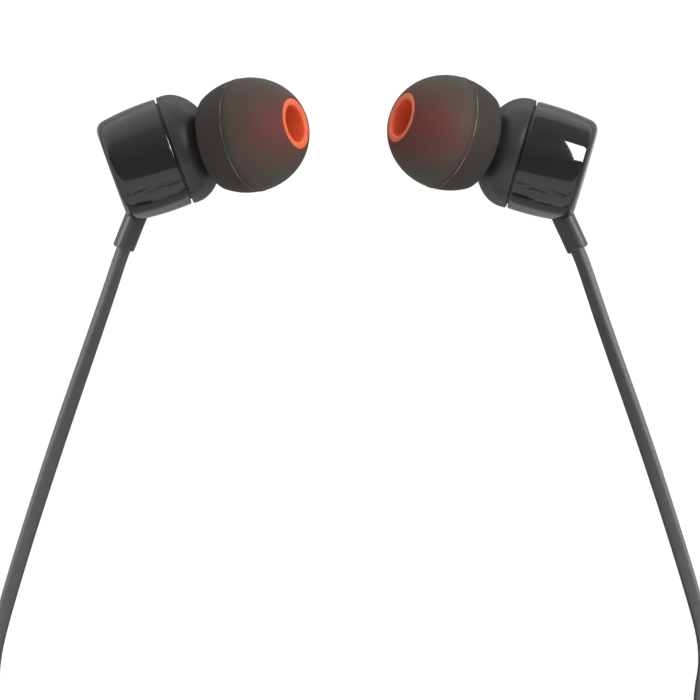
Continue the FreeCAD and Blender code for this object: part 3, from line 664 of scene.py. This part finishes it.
# %% [markdown]
# ## Mesh in the nozzle
# A disc of fine steel mesh keeps wax out. A flat grid has the right pattern: its faces outside the circle
# are deleted, and a Wireframe modifier turns each edge into a closed wire, also along the boundary. A turned
# ring holds the ends.

# %% Nozzle mesh
nozzle_mesh = start_piece("nozzle_mesh", bpy.ops.mesh.primitive_grid_add, size=3.5 * MM, x_subdivisions=18,
                          y_subdivisions=18, location=(9.36 * MM, 0, 0), rotation=(0, math.pi / 2, 0))
delete_faces(nozzle_mesh, lambda at, normal: math.hypot(at.y, at.z) > 1.66)
apply_modifier(nozzle_mesh, "WIREFRAME", thickness=0.07 * MM, use_even_offset=True, use_boundary=True)
ring = [(9.3, 1.58), (9.3, 1.73), (9.42, 1.73), (9.42, 1.58), (9.3, 1.58)]
join_to(nozzle_mesh, turned("mesh_rim", ring, 48, "tube"))
lay_down(nozzle_mesh, NOZZLE)
pair(nozzle_mesh, "nozzle_mesh", mesh_steel, 40)

# %% [markdown]
# ## Ear tip
# The core is a tube that snaps over the nozzle's lip, with a groove inside for it. Its front shows as an
# orange ring. The skin starts at that ring and folds back over the core like a mushroom's cap, open behind.
# Its mould left a thin parting line round the widest place: two rings that stand proud by a few hundredths
# of a millimetre.

# %% Core of the tip
def round_corner(before, corner, after, radius, steps=4):
    """Places that round one corner of an outline by about this radius."""
    before, corner, after = (Vector(place) for place in (before, corner, after))
    back = (before - corner).normalized() * radius
    on = (after - corner).normalized() * radius
    shares = [step / steps for step in range(steps + 1)]
    return [tuple(corner + back * (1 - share) ** 2 + on * share ** 2) for share in shares]


core = [(6.0, 2.08), (6.0, 2.62), (6.08, 2.7), (14.6, 2.7), (14.6, 2.8), (14.69, 2.8)]
core += round_corner((14.65, 2.8), (14.95, 2.8), (14.95, 2.5), 0.26)
core += round_corner((14.95, 2.3), (14.95, 1.95), (14.65, 1.95), 0.26)
core += [(14.35, 1.95), (9.83, 1.95), (9.63, 2.13), (9.6, 2.33), (8.87, 2.33), (8.87, 2.08), (6.0, 2.08)]
ear_tip_core = lay_down(turned("ear_tip_core", core, 96, "tube"), NOZZLE)
pair(ear_tip_core, "ear_tip_core", orange_silicone, 35, "{side}_ear_tip")

# %% Dome of the tip
def store(piece, name, rule):
    """Keep a number on each vertex, from its place in millimetres, for a material to read."""
    kept = piece.data.attributes.new(name, "FLOAT", "POINT")
    for vertex, number in zip(piece.data.vertices, kept.data):
        number.value = rule(vertex.co / MM)


TIP_RADIUS = 6.02
INNER_RADIUS = 5.47
skin = oval(WIDEST, 6.78, TIP_RADIUS, -angle_at(5.15, TIP_RADIUS), -1.2, 10)
skin += [(9.23, TIP_RADIUS), (9.26, 6.055), (9.36, 6.055), (9.39, TIP_RADIUS)]
skin += oval(WIDEST, 6.382, TIP_RADIUS, 2.5, angle_at(2.83, TIP_RADIUS), 24) + [(14.96, 2.72)]
skin += oval(WIDEST, 5.832, INNER_RADIUS, angle_at(2.72, INNER_RADIUS), 0, 16)
skin += [(6.0, 4.65), (5.84, 4.72), (5.76, 4.9), (5.76, 5.06), skin[0]]
ear_tip_dome = turned("ear_tip_dome", skin, 96, "tube")
store(ear_tip_dome, "along", lambda at: at.x)
lay_down(ear_tip_dome, NOZZLE)
pair(ear_tip_dome, "ear_tip_dome", smoke_silicone, 40, "{side}_ear_tip")

# %% [markdown]
# ## Painted glow of the core
# Where the core lies close behind the skin, a painted glow stands in for it showing through. How far along
# the core's axis a place of the skin is, and how far to the side of it, give the strength of the painted
# red. In the photograph the glow begins further forward in the left tip than in the right one.

# %% Painted glow
def ramp(value, low, high):
    """0 at low, 1 at high, and straight between them."""
    return min(max((value - low) / (high - low), 0), 1)


GLOW_RISE = 4.9
GLOW_BEGINS = {"left": 9.7, "right": 8.2}
for side, begins in GLOW_BEGINS.items():
    tip = BUDS[side] @ NOZZLE
    middle, forward = tip.translation / MM, tip.to_3x3() @ Vector((1, 0, 0))
    sideways = forward.cross((0, 0, 1)).normalized()

    def painted_core_glow(at):
        """How much painted glow a place of the skin gets: more towards the core's front, less to both sides
        of it.
        """
        along, beside = (at - middle).dot(forward), abs((at - middle).dot(sideways))
        return ramp(along, begins, begins + GLOW_RISE) * (1 - ramp(beside, 0.3, 5.2))

    store(bpy.data.objects[side + "_ear_tip_dome_look"], "glow", painted_core_glow)
print("glow stored for", list(GLOW_BEGINS))

# %% [markdown]
# ## Strain relief
# A soft sleeve leaves the rear corner of each bud and keeps the cord from kinking there. Its section is a
# flat oval: a bar whose long edges get a wide bevel. It has a flange inside the housing and a slot for the
# flat cord, and its end gets a small bevel, as moulded rubber has.

# %% Strain relief
SLEEVE_END = 10.6
strain_relief = bar("strain_relief", 4.1, SLEEVE_END, 2.44, 1.65, 0.72, 7)
bevel_edges(strain_relief, 0.24, 4, lambda at, way: at.x > SLEEVE_END - 0.01)
carve(strain_relief, bar("flange", 3.5, 4.15, 2.74, 1.95, 0.42, 3), "UNION")
carve(strain_relief, bar("slot", 3.3, 11, 1.64, 1.04, 0.12, 2))
lay_down(strain_relief, SLEEVE)
pair(strain_relief, "strain_relief", sleeve_rubber, 28)

# %% [markdown]
# ## Splitter
# The two branches come together in a small moulding, flat on the table like the cords. It is a block whose
# far end is extruded and drawn in towards the main cord. A Bevel modifier rounds every edge, and a line
# round the middle shows where the two halves of its mould met.

# %% Splitter
def block(name, low, high):
    """A box between two corners in millimetres."""
    low, high = Vector(low), Vector(high)
    return start_piece(name, bpy.ops.mesh.primitive_cube_add, size=1, location=(low + high) / 2 * MM,
                       scale=(high - low) * MM)


def rounded(piece, radius, segments=4, angle=30):
    """Round all edges that are sharper than an angle."""
    return apply_modifier(piece, "BEVEL", width=radius * MM, segments=segments, limit_method="ANGLE",
                          angle_limit=math.radians(angle))


def mould_line(piece, low, high, depth):
    """Press a fine line into a piece between two heights, all round."""
    for height in (low, high):
        pick(piece, "FACE", lambda at, normal: True)
        bpy.ops.mesh.bisect(plane_co=(0, 0, height * MM), plane_no=(0, 0, 1))
        done()
    pick(piece, "FACE", lambda at, normal: low < at.z < high and abs(normal.z) < 0.5)
    bpy.ops.mesh.extrude_region_shrink_fatten(TRANSFORM_OT_shrink_fatten={"value": -depth * MM})
    return done()


TAPER_LENGTH = 7.7
TAPER_SHARE = 3.2 / 5.6
splitter = block("splitter_look", (3.9, -73.3, 0), (9.5, -67, 2.1))
pick(splitter, "FACE", lambda at, normal: normal.y < -0.9)
bpy.ops.mesh.extrude_region_move(TRANSFORM_OT_translate={"value": (0, -TAPER_LENGTH * MM, 0)})
bpy.ops.transform.resize(value=(TAPER_SHARE, 1, 1), center_override=(6.7 * MM, -81 * MM, 1.05 * MM))
done()
rounded(splitter, 0.5, 5, 20)
mould_line(splitter, 1.03, 1.07, 0.03)
dress(splitter, case_plastic, ["splitter"])
print("splitter faces", len(splitter.data.polygons))

# %% [markdown]
# ## Remote
# The remote sits in the right branch. Its case is two shells that meet at a fine line, with a window for the
# button and a hole for the microphone. Each shell is a block with rounded corners and a rounded rim, hollowed
# by Boolean modifiers. The corners are rounded wider than the rim, because otherwise the rim crosses itself
# there. The button is dished for the fingertip and has a flange that keeps it in.

# %% Front cover of the remote
SEAM = 1.9
CASE_TOP = 3.8
BUTTON_TOP = 4.3


def upright(at, way):
    """The rule for edges that stand upright."""
    return abs(way.z) > 0.9


def level_at(height):
    """The rule for the level edges at a height."""
    return lambda at, way: abs(at.z - height) < 0.01 and abs(way.z) < 0.1


def case_half(name, low, high, rim, hollow_low, hollow_high):
    """Half of the case between two heights, with its rim rounded at one of them, and hollowed."""
    half = block(name, (34.0, -87, low), (40.4, -61, high))
    bevel_edges(half, 1.05, 6, upright)
    bevel_edges(half, 0.95, 6, level_at(rim))
    bevel_edges(half, 0.05, 1, level_at(SEAM))
    return carve(half, block("hollow", (34.7, -85.6, hollow_low), (39.7, -62.4, hollow_high)))


def keep_flats_flat(piece):
    """Shade the level faces flat, so that the rounded edges beside them don't darken them."""
    for face in piece.data.polygons:
        face.use_smooth = face.use_smooth and abs(face.normal.z) < 0.9999
    return piece


front_cover = case_half("remote_front_cover_look", SEAM, CASE_TOP, CASE_TOP, 1.5, 3.1)
window = block("window", (35.45, -78.05, 2.5), (38.95, -69.95, 4.5))
carve(front_cover, bevel_edges(window, 0.6, 5, upright))
microphone_hole = start_piece("hole", bpy.ops.mesh.primitive_cylinder_add, vertices=32, radius=0.45 * MM,
                              depth=3 * MM, location=(37.2 * MM, -81.6 * MM, 3.5 * MM))
carve(front_cover, microphone_hole)
rounded(front_cover, 0.07, 2, 50)
keep_flats_flat(dress(front_cover, case_plastic, ["remote_front_cover"]))
print("front cover faces", len(front_cover.data.polygons))

# %% Back cover and button
back_cover = case_half("remote_back_cover_look", 0, SEAM, 0, 0.7, 2.5)
keep_flats_flat(dress(back_cover, case_plastic, ["remote_back_cover"]))

button = block("remote_button_look", (35.5, -78.0, 2.8), (38.9, -70.0, BUTTON_TOP))
bevel_edges(button, 0.55, 5, upright)
bevel_edges(button, 0.22, 4, lambda at, way: at.z > BUTTON_TOP - 0.01)
pick(button, "FACE", lambda at, normal: normal.z > 0.95 and at.z > BUTTON_TOP - 0.01)
for margin in (0.35, 0.5):
    bpy.ops.mesh.inset(thickness=margin * MM)
    bpy.ops.transform.translate(value=(0, 0, -0.05 * MM))
done()
carve(button, block("flange", (35.1, -78.4, 2.8), (39.3, -69.6, 3.05)), "UNION")
keep_flats_flat(dress(button, button_gloss, ["remote_button"], 24, "remote_button"))
print("back cover and button faces", len(back_cover.data.polygons), len(button.data.polygons))

# %% [markdown]
# ## Plug
# The plug is turned from the relief behind to the tip in front: ribs that get larger and let the cord bend,
# a smooth grip, and four gold contacts with three black rings between them. All of it is built along X and
# laid on its line at once. The contacts get tiny bevels, since turned metal never has a sharp edge.

# %% Outlines of the plug
PLUG = move(-8.6, -97.5, 9.3) @ turn("Z", 90)
GROOVE = ((0, 2.8), (0.08, 2.74), (0.2, 2.71), (0.32, 2.74), (0.4, 2.8))


def plug_piece(name, outline, finish, sharp=35):
    """A turned piece of the plug, in its place."""
    piece = lay_down(turned(name + "_look", outline, 64), PLUG)
    return dress(piece, finish, [name], sharp)


def contact(start, end, radius=1.75, edge=0.07):
    """The outline of a plain contact or ring with small bevels."""
    slant = edge * 0.3
    return [(start, 0.5), (start, radius - edge), (start + slant, radius - slant), (start + edge, radius),
            (end - edge, radius), (end - slant, radius - slant), (end, radius - edge), (end, 0.5)]


relief = [(0, 0.4), (0, 1.0)]
for number in range(4):
    start, radius = 2.0 * number, 1.15 + 0.6 * (number + 1) / 4
    relief += [(start + 0.02, radius - 0.1), (start + 0.12, radius), (start + 1.25, radius)]
    relief += [(start + 1.38, radius - 0.1), (start + 1.45, radius - 0.3), (start + 1.95, radius - 0.3)]
relief += [(8.0, 1.3), (8.0, 0.4)]

grip = [(8.0, 0.5), (8.0, 2.3)] + round_corner((8.0, 2.4), (8.0, 2.8), (8.5, 2.8), 0.4)
grip += [(12.0, 2.8), (17.0, 2.8)]
for start in (17.5, 18.3, 19.1):
    grip += [(start + along, radius) for along, radius in GROOVE]
grip += [(20.6, 2.8), (21.4, 2.77), (22.4, 2.66), (23.3, 2.48)]
grip += round_corner((23.4, 2.44), (24.0, 2.32), (24.0, 1.9), 0.3) + [(24.0, 0.5)]

tip = [(35.1, 0.5), (35.1, 1.7), (35.15, 1.75), (35.55, 1.75), (35.7, 1.7), (36.2, 1.25), (36.35, 1.17)]
tip += [(36.5, 1.22), (36.95, 1.62), (37.1, 1.72), (37.3, 1.73), (37.45, 1.62), (37.8, 0.75)]
tip += [(37.9, 0.52), (37.96, 0.35), (38.0, 0.12)]
print("plug places", len(relief), len(grip), len(tip))

# %% Pieces of the plug
plug_pieces = [plug_piece("plug_relief", relief, grip_rubber), plug_piece("plug_body", grip, case_plastic)]
for name, start, end in (("sleeve_contact", 24.0, 29.3), ("near_ring", 29.9, 31.9), ("far_ring", 32.5, 34.5)):
    plug_pieces.append(plug_piece("plug_" + name, contact(start, end), plug_gold))
plug_pieces.append(plug_piece("plug_tip_contact", tip, plug_gold, 40))
insulators = turned("plug_insulators_look", contact(29.3, 29.9, 1.735, 0.03))
for start in (31.9, 34.5):
    join_to(insulators, turned("extra", contact(start, start + 0.6, 1.735, 0.03)))
lay_down(insulators, PLUG)
plug_pieces.append(dress(insulators, ring_black, ["plug_insulators"]))
print("plug faces", sum(len(piece.data.polygons) for piece in plug_pieces))

# %% [markdown]
# ## Ties
# Each hank of spare cord is held by a soft band. A block of the band's outer size loses its two open ends,
# a Solidify modifier gives the band its thickness inwards, and a Bevel modifier softens it.

# %% Ties
ties = {}
for name in ("left_hank_tie", "right_hank_tie", "main_hank_tie"):
    low, high = (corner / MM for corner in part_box(name))
    tie = block(name + "_look", low, high)
    bevel_edges(tie, 0.9, 6, lambda at, way: abs(way.y) > 0.9)
    delete_faces(tie, lambda at, normal: abs(normal.y) > 0.9)
    apply_modifier(tie, "SOLIDIFY", thickness=0.5 * MM, offset=-1)
    rounded(tie, 0.12, 3, 50)
    face_outwards(tie)
    ties[name] = dress(tie, tie_rubber, [name])
print("ties", len(ties))

# %% [markdown]
# ## Parts inside
# The driver, the terminal board and the remote's board keep their CAD shapes, since those are right. They
# only get their materials. A CAD node's mesh is never changed.

# %% Parts inside
INSIDE = {
    "driver_frame": driver_plastic, "driver_yoke": yoke_steel, "driver_magnet": magnet_nickel,
    "driver_top_plate": yoke_steel, "voice_coil": voice_copper, "diaphragm": film_clear,
    "driver_cover": cover_alloy, "terminal_board": green_mask, "cord_knot": knot_alloy,
}
kept_nodes = {side + "_" + name: finish for side in BUDS for name, finish in INSIDE.items()}
kept_nodes.update(remote_board=green_mask, remote_switch=cover_alloy, remote_microphone=mesh_steel)
for node, finish in kept_nodes.items():
    for material_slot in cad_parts[node].material_slots:
        material_slot.material = finish.material
print("CAD nodes dressed", len(kept_nodes))

# %% [markdown]
# ## Cords
# A cord is one smooth line with a section swept along it. The line is a NURBS curve drawn by listed
# places: out of the sleeve, in a gentle arc down to the table, and into a hank below the picture, where the
# spare length is put away. Half turns of a hank get eight places each, which makes them round.

# %% Cord routes
FLOOR = 1.05
UPPER = 2.50
CLIMB = 1.45
CLAMPED = 3.45


def way_out(side):
    """The line on which a cord leaves its bud: a place in millimetres by its distance along it."""
    exit_line = BUDS[side] @ CORD_EXIT
    return lambda distance: tuple(exit_line @ Vector((distance * MM, 0, 0)) / MM)


def hank(start, heading, side, runs, radii, climbs):
    """Places of a hank: straight runs up and down, and half turns of eight places between them."""
    across, along, height = start
    places = [start]
    for number, length in enumerate(runs):
        along += heading * length
        height += climbs.get(number, 0)
        places.append((across, along, height))
        if number == len(radii):
            break
        radius = radii[number]
        towards = -heading * side
        middle = across + towards * radius
        reach = radius / math.cos(math.radians(11.25))
        for step in range(8):
            angle = math.radians((step + 0.5) * 22.5)
            places.append((middle - towards * reach * math.cos(angle),
                           along + heading * reach * math.sin(angle), height))
        across += 2 * towards * radius
        heading = -heading
        places.append((across, along, height))
    return places


print("hank helper ready")

# %% Left cord's places
left_out = way_out("left")
left_places = [left_out(CLAMPED), left_out(SLEEVE_END), (-24.75, -12.04, 3.7), (-26.6, -17.3, 2.0)]
left_places += [(-31.3, -30.8, 1.0), (-35.9, -45.3, 0.8), (-38.0, -53.6, 1.0), (-37.2, -60.9, 2.5)]
left_places += hank((-37.2, -66.5, UPPER), -1, 1, [29.0, 26, 26, 26, 26, 27.7],
                    [6.85, 5.825, 4.8, 4.8, 5.825], {3: -CLIMB})
left_places += [(-23.5, -63.2, FLOOR), (-20.2, -59.9, FLOOR), (-12.7, -60.1, FLOOR), (-5.2, -59.7, FLOOR),
                (2.4, -59.9, FLOOR), (5.7, -63.2, FLOOR), (5.7, -67.0, FLOOR)]
print("left cord places", len(left_places))

# %% Right cord's places
right_out = way_out("right")
right_places = [right_out(CLAMPED), right_out(SLEEVE_END), (25.35, -12.17, 6.6), (27.1, -17.3, 5.0)]
right_places += [(32.0, -30.8, 1.6), (36.6, -45.3, 0.8), (38.2, -51.7, 1.0), (37.2, -56.6, 1.9)]
right_places += [(37.2, -61.0, 1.9)]

REMOTE_EXIT = (37.2, -87.0, 1.9)
lower_places = hank(REMOTE_EXIT, -1, -1, [8.5, 26, 26, 26, 26, 27.7],
                    [8.9, 5.825, 4.8, 4.8, 5.825], {0: 0.6, 3: -CLIMB})
lower_places += [(19.4, -63.2, FLOOR), (16.1, -59.9, FLOOR), (11.0, -59.9, FLOOR), (7.7, -63.2, FLOOR),
                 (7.7, -67.0, FLOOR)]
print("right cord places", len(right_places), len(lower_places))

# %% Main cord's places
main_places = [(6.7, -81.0, FLOOR), (6.7, -85.6, FLOOR), (6.4, -92.0, FLOOR), (6.7, -98.0, FLOOR),
               (3.4, -101.3, FLOOR), (-0.6, -101.3, FLOOR), (-3.9, -98.0, FLOOR)]
main_places += hank((-3.9, -95.0, FLOOR), 1, 1, [25.5] + [30] * 12 + [17.55],
                    [7.875, 6.85, 5.825, 4.8, 4.8, 5.825, 6.85, 6.85, 5.825, 4.8, 4.8, 5.825, 6.85],
                    {4: CLIMB, 7: CLIMB, 10: CLIMB})
main_places += [(-19.65, -90.25, 5.4), (-19.65, -96.65, 9.3), (-19.65, -101.23, 9.3), (-16.41, -104.47, 9.3),
                (-11.84, -104.47, 9.3), (-8.6, -101.23, 9.3), (-8.6, -97.5, 9.3)]
print("main cord places", len(main_places))

# %% [markdown]
# ## Cord jackets
# The cord is flat, 1.6 mm wide and 1 mm thick, with rounded edges, so its section is a small closed curve.
# Twist is set to Z-up, which keeps the flat side level on the table. A cord leaves its sleeve rolled over,
# and a tilt on the first places brings it level. The order is set after the places are added, because set
# before, it falls back to straight lines.

# %% Section of the cord
def cord_section():
    """A closed curve with the cord's flat section."""
    bpy.ops.object.select_all(action="DESELECT")
    bpy.ops.curve.primitive_bezier_circle_add(radius=0.5 * MM)
    section = bpy.context.active_object
    section.name = "cord_section"
    half_width, half_thickness, rounding = 0.8 * MM, 0.5 * MM, 0.36 * MM
    corners = []
    for turn_number, (x, y) in enumerate([(1, 1), (-1, 1), (-1, -1), (1, -1)]):
        for step in range(5):
            angle = math.radians(90 * turn_number + 90 * step / 4)
            corners.append((x * (half_width - rounding) + rounding * math.cos(angle),
                            y * (half_thickness - rounding) + rounding * math.sin(angle)))
    section.data.splines.clear()
    spline = section.data.splines.new("POLY")
    spline.points.add(len(corners) - 1)
    for point, (x, y) in zip(spline.points, corners):
        point.co = (x, y, 0, 1)
    spline.use_cyclic_u = True
    return section


section = cord_section()
print("section places", len(section.data.splines[0].points))

# %% Sweep
def lay_cord(name, places, exit, rolls, nodes, pieces=()):
    """A cord along its places, given as a NURBS line, with rolls in degrees for its first places."""
    data = bpy.data.curves.new(name, "CURVE")
    data.dimensions = "3D"
    data.twist_mode = "Z_UP"
    data.resolution_u = 6
    spline = data.splines.new("NURBS")
    spline.points.add(len(places) - 1)
    for number, (point, place) in enumerate(zip(spline.points, places)):
        point.co = (*(value * MM for value in place), 1)
        point.tilt = math.radians(rolls[number]) if number < len(rolls) else 0
    spline.order_u = 3
    spline.use_endpoint_u = True
    curve = new_object(name + "_line", data)
    line = bpy.data.meshes.new_from_object(curve)
    data.bevel_mode = "OBJECT"
    data.bevel_object = section
    data.use_fill_caps = True
    only(curve)
    bpy.ops.object.convert(target="MESH")
    cord = bpy.context.active_object
    cord.name = cord.data.name = name
    face_outwards(cord)
    dress(cord, cord_jacket, nodes, 50)
    tuple(value * MM for value in exit)


print("ready to sweep")

# %% The four cords
lay_cord("left_cord_look", left_places, left_out(SLEEVE_END), [-52, -52, -50, -40, -20, -6],
         ["left_cord_tail", "left_cord", "left_cord_hank", "left_cord_lead"],
         [splitter, ties["left_hank_tie"]])
lay_cord("right_cord_look", right_places, right_out(SLEEVE_END), [50, 50, 48, 40, 20, 6],
         ["right_cord_tail", "right_cord"], [front_cover, back_cover, button])
lay_cord("right_lower_cord_look", lower_places, REMOTE_EXIT, [],
         ["right_cord_hank", "right_cord_lead"], [ties["right_hank_tie"]])
lay_cord("main_cord_look", main_places, main_places[0], [],
         ["main_cord_lead", "main_cord_hank", "main_cord_end"],
         plug_pieces + [ties["main_hank_tie"]])
bpy.data.objects.remove(section)

# %% [markdown]
# ## Studio
# The earphones lie on a pale floor in a white room. A black shell shows the room itself, so the room is
# planned for its reflections: dark overhead where the camera hangs, pale towards the horizon, with streaks
# of clutter low on the wall. The mirrored floor gets a painted shade, a dark oval under the buds and a dark
# gap behind them, and it is darker far to the right, since a shell would otherwise get a white rim. For the
# camera, floor and room are plain white, and the floor still takes a faint shadow. Light Path tells the
# camera's and the mirrors' rays from the lighting ones. One large lamp stands on the right. A second one in
# the same place is only seen in the polished shells, as their white highlight. Two low lamps reach the
# sleeves and the cords alone.

# %% Floor
floor = start_piece("floor", bpy.ops.mesh.primitive_plane_add, size=4, location=(0, 0, -0.02 * MM))
white_table = Finish("white_table", "", grey(0.8), 0.7, Emission_Strength=1.0, Specular_IOR_Level=0.0)
direct, mirrored, passed = (white_table.rays(kind) for kind in ("Camera", "Glossy", "Transmission"))
shown = (direct + mirrored + passed).between(0, 1)
to_right, to_top = (white_table.along_axis(white_table.place(), axis) for axis in "XY")
# Painted shade, seen only in reflections: a dark gap behind the buds, a dark oval under them, and a darker
# floor far to the right.
painted_gap_shade = to_top.between(-0.09, -0.06) * (1 - to_top.between(-0.02, -0.012))
OVAL_REACH, OVAL_MIDDLE = 0.02, 0.0015
beside, beyond = (to_right.size() - OVAL_REACH) * 58, (to_top - OVAL_MIDDLE) * 125
outside_painted_shade = (beside * beside + beyond * beyond).between(0.8, 5)
outside_painted_shade = outside_painted_shade * (1 - to_right.between(0.04, 0.06) * 0.8)
mirrored_floor = white_table.blend(painted_gap_shade, grey(0.95), grey(0.3))
mirrored_floor = white_table.blend(outside_painted_shade, grey(0.22), mirrored_floor)
white = white_table.blend(mirrored, grey(0.95), mirrored_floor)
white_table.set("Base Color", white_table.blend(shown, grey(0.8), grey(0.16)))
white_table.set("Emission Color", white_table.blend(shown, grey(0), white))
floor.data.materials.append(white_table.material)
print("floor made, nodes", len(white_table.tree.nodes))

# %% Room
world = bpy.data.worlds.new("white_room")
world.use_nodes = True
bpy.context.scene.world = world
room = Graph(world.node_tree, "Background")
way = room.node("ShaderNodeTexCoord", output="Generated")
way_right, way_top, way_up = (room.along_axis(way, axis) for axis in "XYZ")
angle = room.node("ShaderNodeMath", {"operation": "ARCTAN2"}, {0: way_top, 1: way_up})
turned_way = angle * (0.5 / math.pi) + 0.5
stops = [(0.26, grey(1)), (0.33, grey(1.1)), (0.36, grey(1.15)), (0.405, grey(1)), (0.418, grey(0.22)),
         (0.5, grey(0.18)), (0.58, (0.33, 0.33, 0.34, 1)), (0.645, (0.5, 0.5, 0.52, 1)),
         (0.69, grey(0.95)), (0.74, grey(1.15))]
overhead = room.node("ShaderNodeValToRGB", {"stops": stops}, {0: turned_way}, "Color")
spots = room.node("ShaderNodeTexNoise", None, {"Vector": way, "Scale": 9.0, "Detail": 3.0}, "Fac")
low_wall = turned_way.between(0.30, 0.31) * (1 - turned_way.between(0.335, 0.345))
clutter = spots.between(0.46, 0.54) * low_wall
right_wall = way_right.between(-0.12, 0.12) * turned_way.between(0.56, 0.62) * 0.85
right_end = way_right.between(0.6, 0.85) * 0.8
for share, level in ((clutter, 0.42), (right_wall, 0.3), (right_end, 0.25)):
    overhead = room.blend(share, overhead, grey(level))
plain = room.blend(room.rays("Camera"), grey(0.62), grey(1))
room.set("Color", room.blend(room.rays("Glossy"), plain, overhead))
room.set("Strength", 1.0)
print("room made, nodes", len(room.tree.nodes))

# %% Lamps
def softbox(name, place, aim, width, height, roll, power):
    """A large soft lamp at a place, aimed at another one, all in metres, and rolled by some degrees."""
    data = bpy.data.lights.new(name, "AREA")
    data.shape = "RECTANGLE"
    data.size, data.size_y = width, height
    data.energy = power
    lamp = new_object(name, data)
    lamp.location = place
    aimed = (Vector(aim) - Vector(place)).to_track_quat("-Z", "Y").to_matrix().to_4x4()
    lamp.rotation_euler = (aimed @ turn("Z", roll)).to_euler()
    lamp.visible_camera = False
    return lamp


def only_on(lamp, names):
    """Flag a lamp off, so that it reaches the named pieces alone."""
    reached = bpy.data.collections.new(lamp.name + "_reaches")
    for name in names:
        reached.objects.link(bpy.data.objects[name])
    lamp.light_linking.receiver_collection = reached


SIDE_AIM = (0.3035, -0.043, -0.0835)
SIDE_SHAPE = (0.6, 0.3, 25.5)
softbox("side_light", (0.47, 0.199, 0.348), SIDE_AIM, *SIDE_SHAPE, 2.6)
side_glint = softbox("side_glint", (0.463, 0.189, 0.330), SIDE_AIM, *SIDE_SHAPE, 11)
side_glint.visible_diffuse = False
only_on(side_glint, ["left_rear_shell_look", "right_rear_shell_look"])
for side, sign in (("left", -1), ("right", 1)):
    low_light = softbox(side + "_low_light", (sign * 0.54, -0.02, 0.25), (sign * 0.025, -0.02, 0.003),
                        0.5, 0.24, 0, 5)
    only_on(low_light, [side + "_strain_relief_look", side + "_cord_look"])
print("lamps", len(bpy.data.lights))
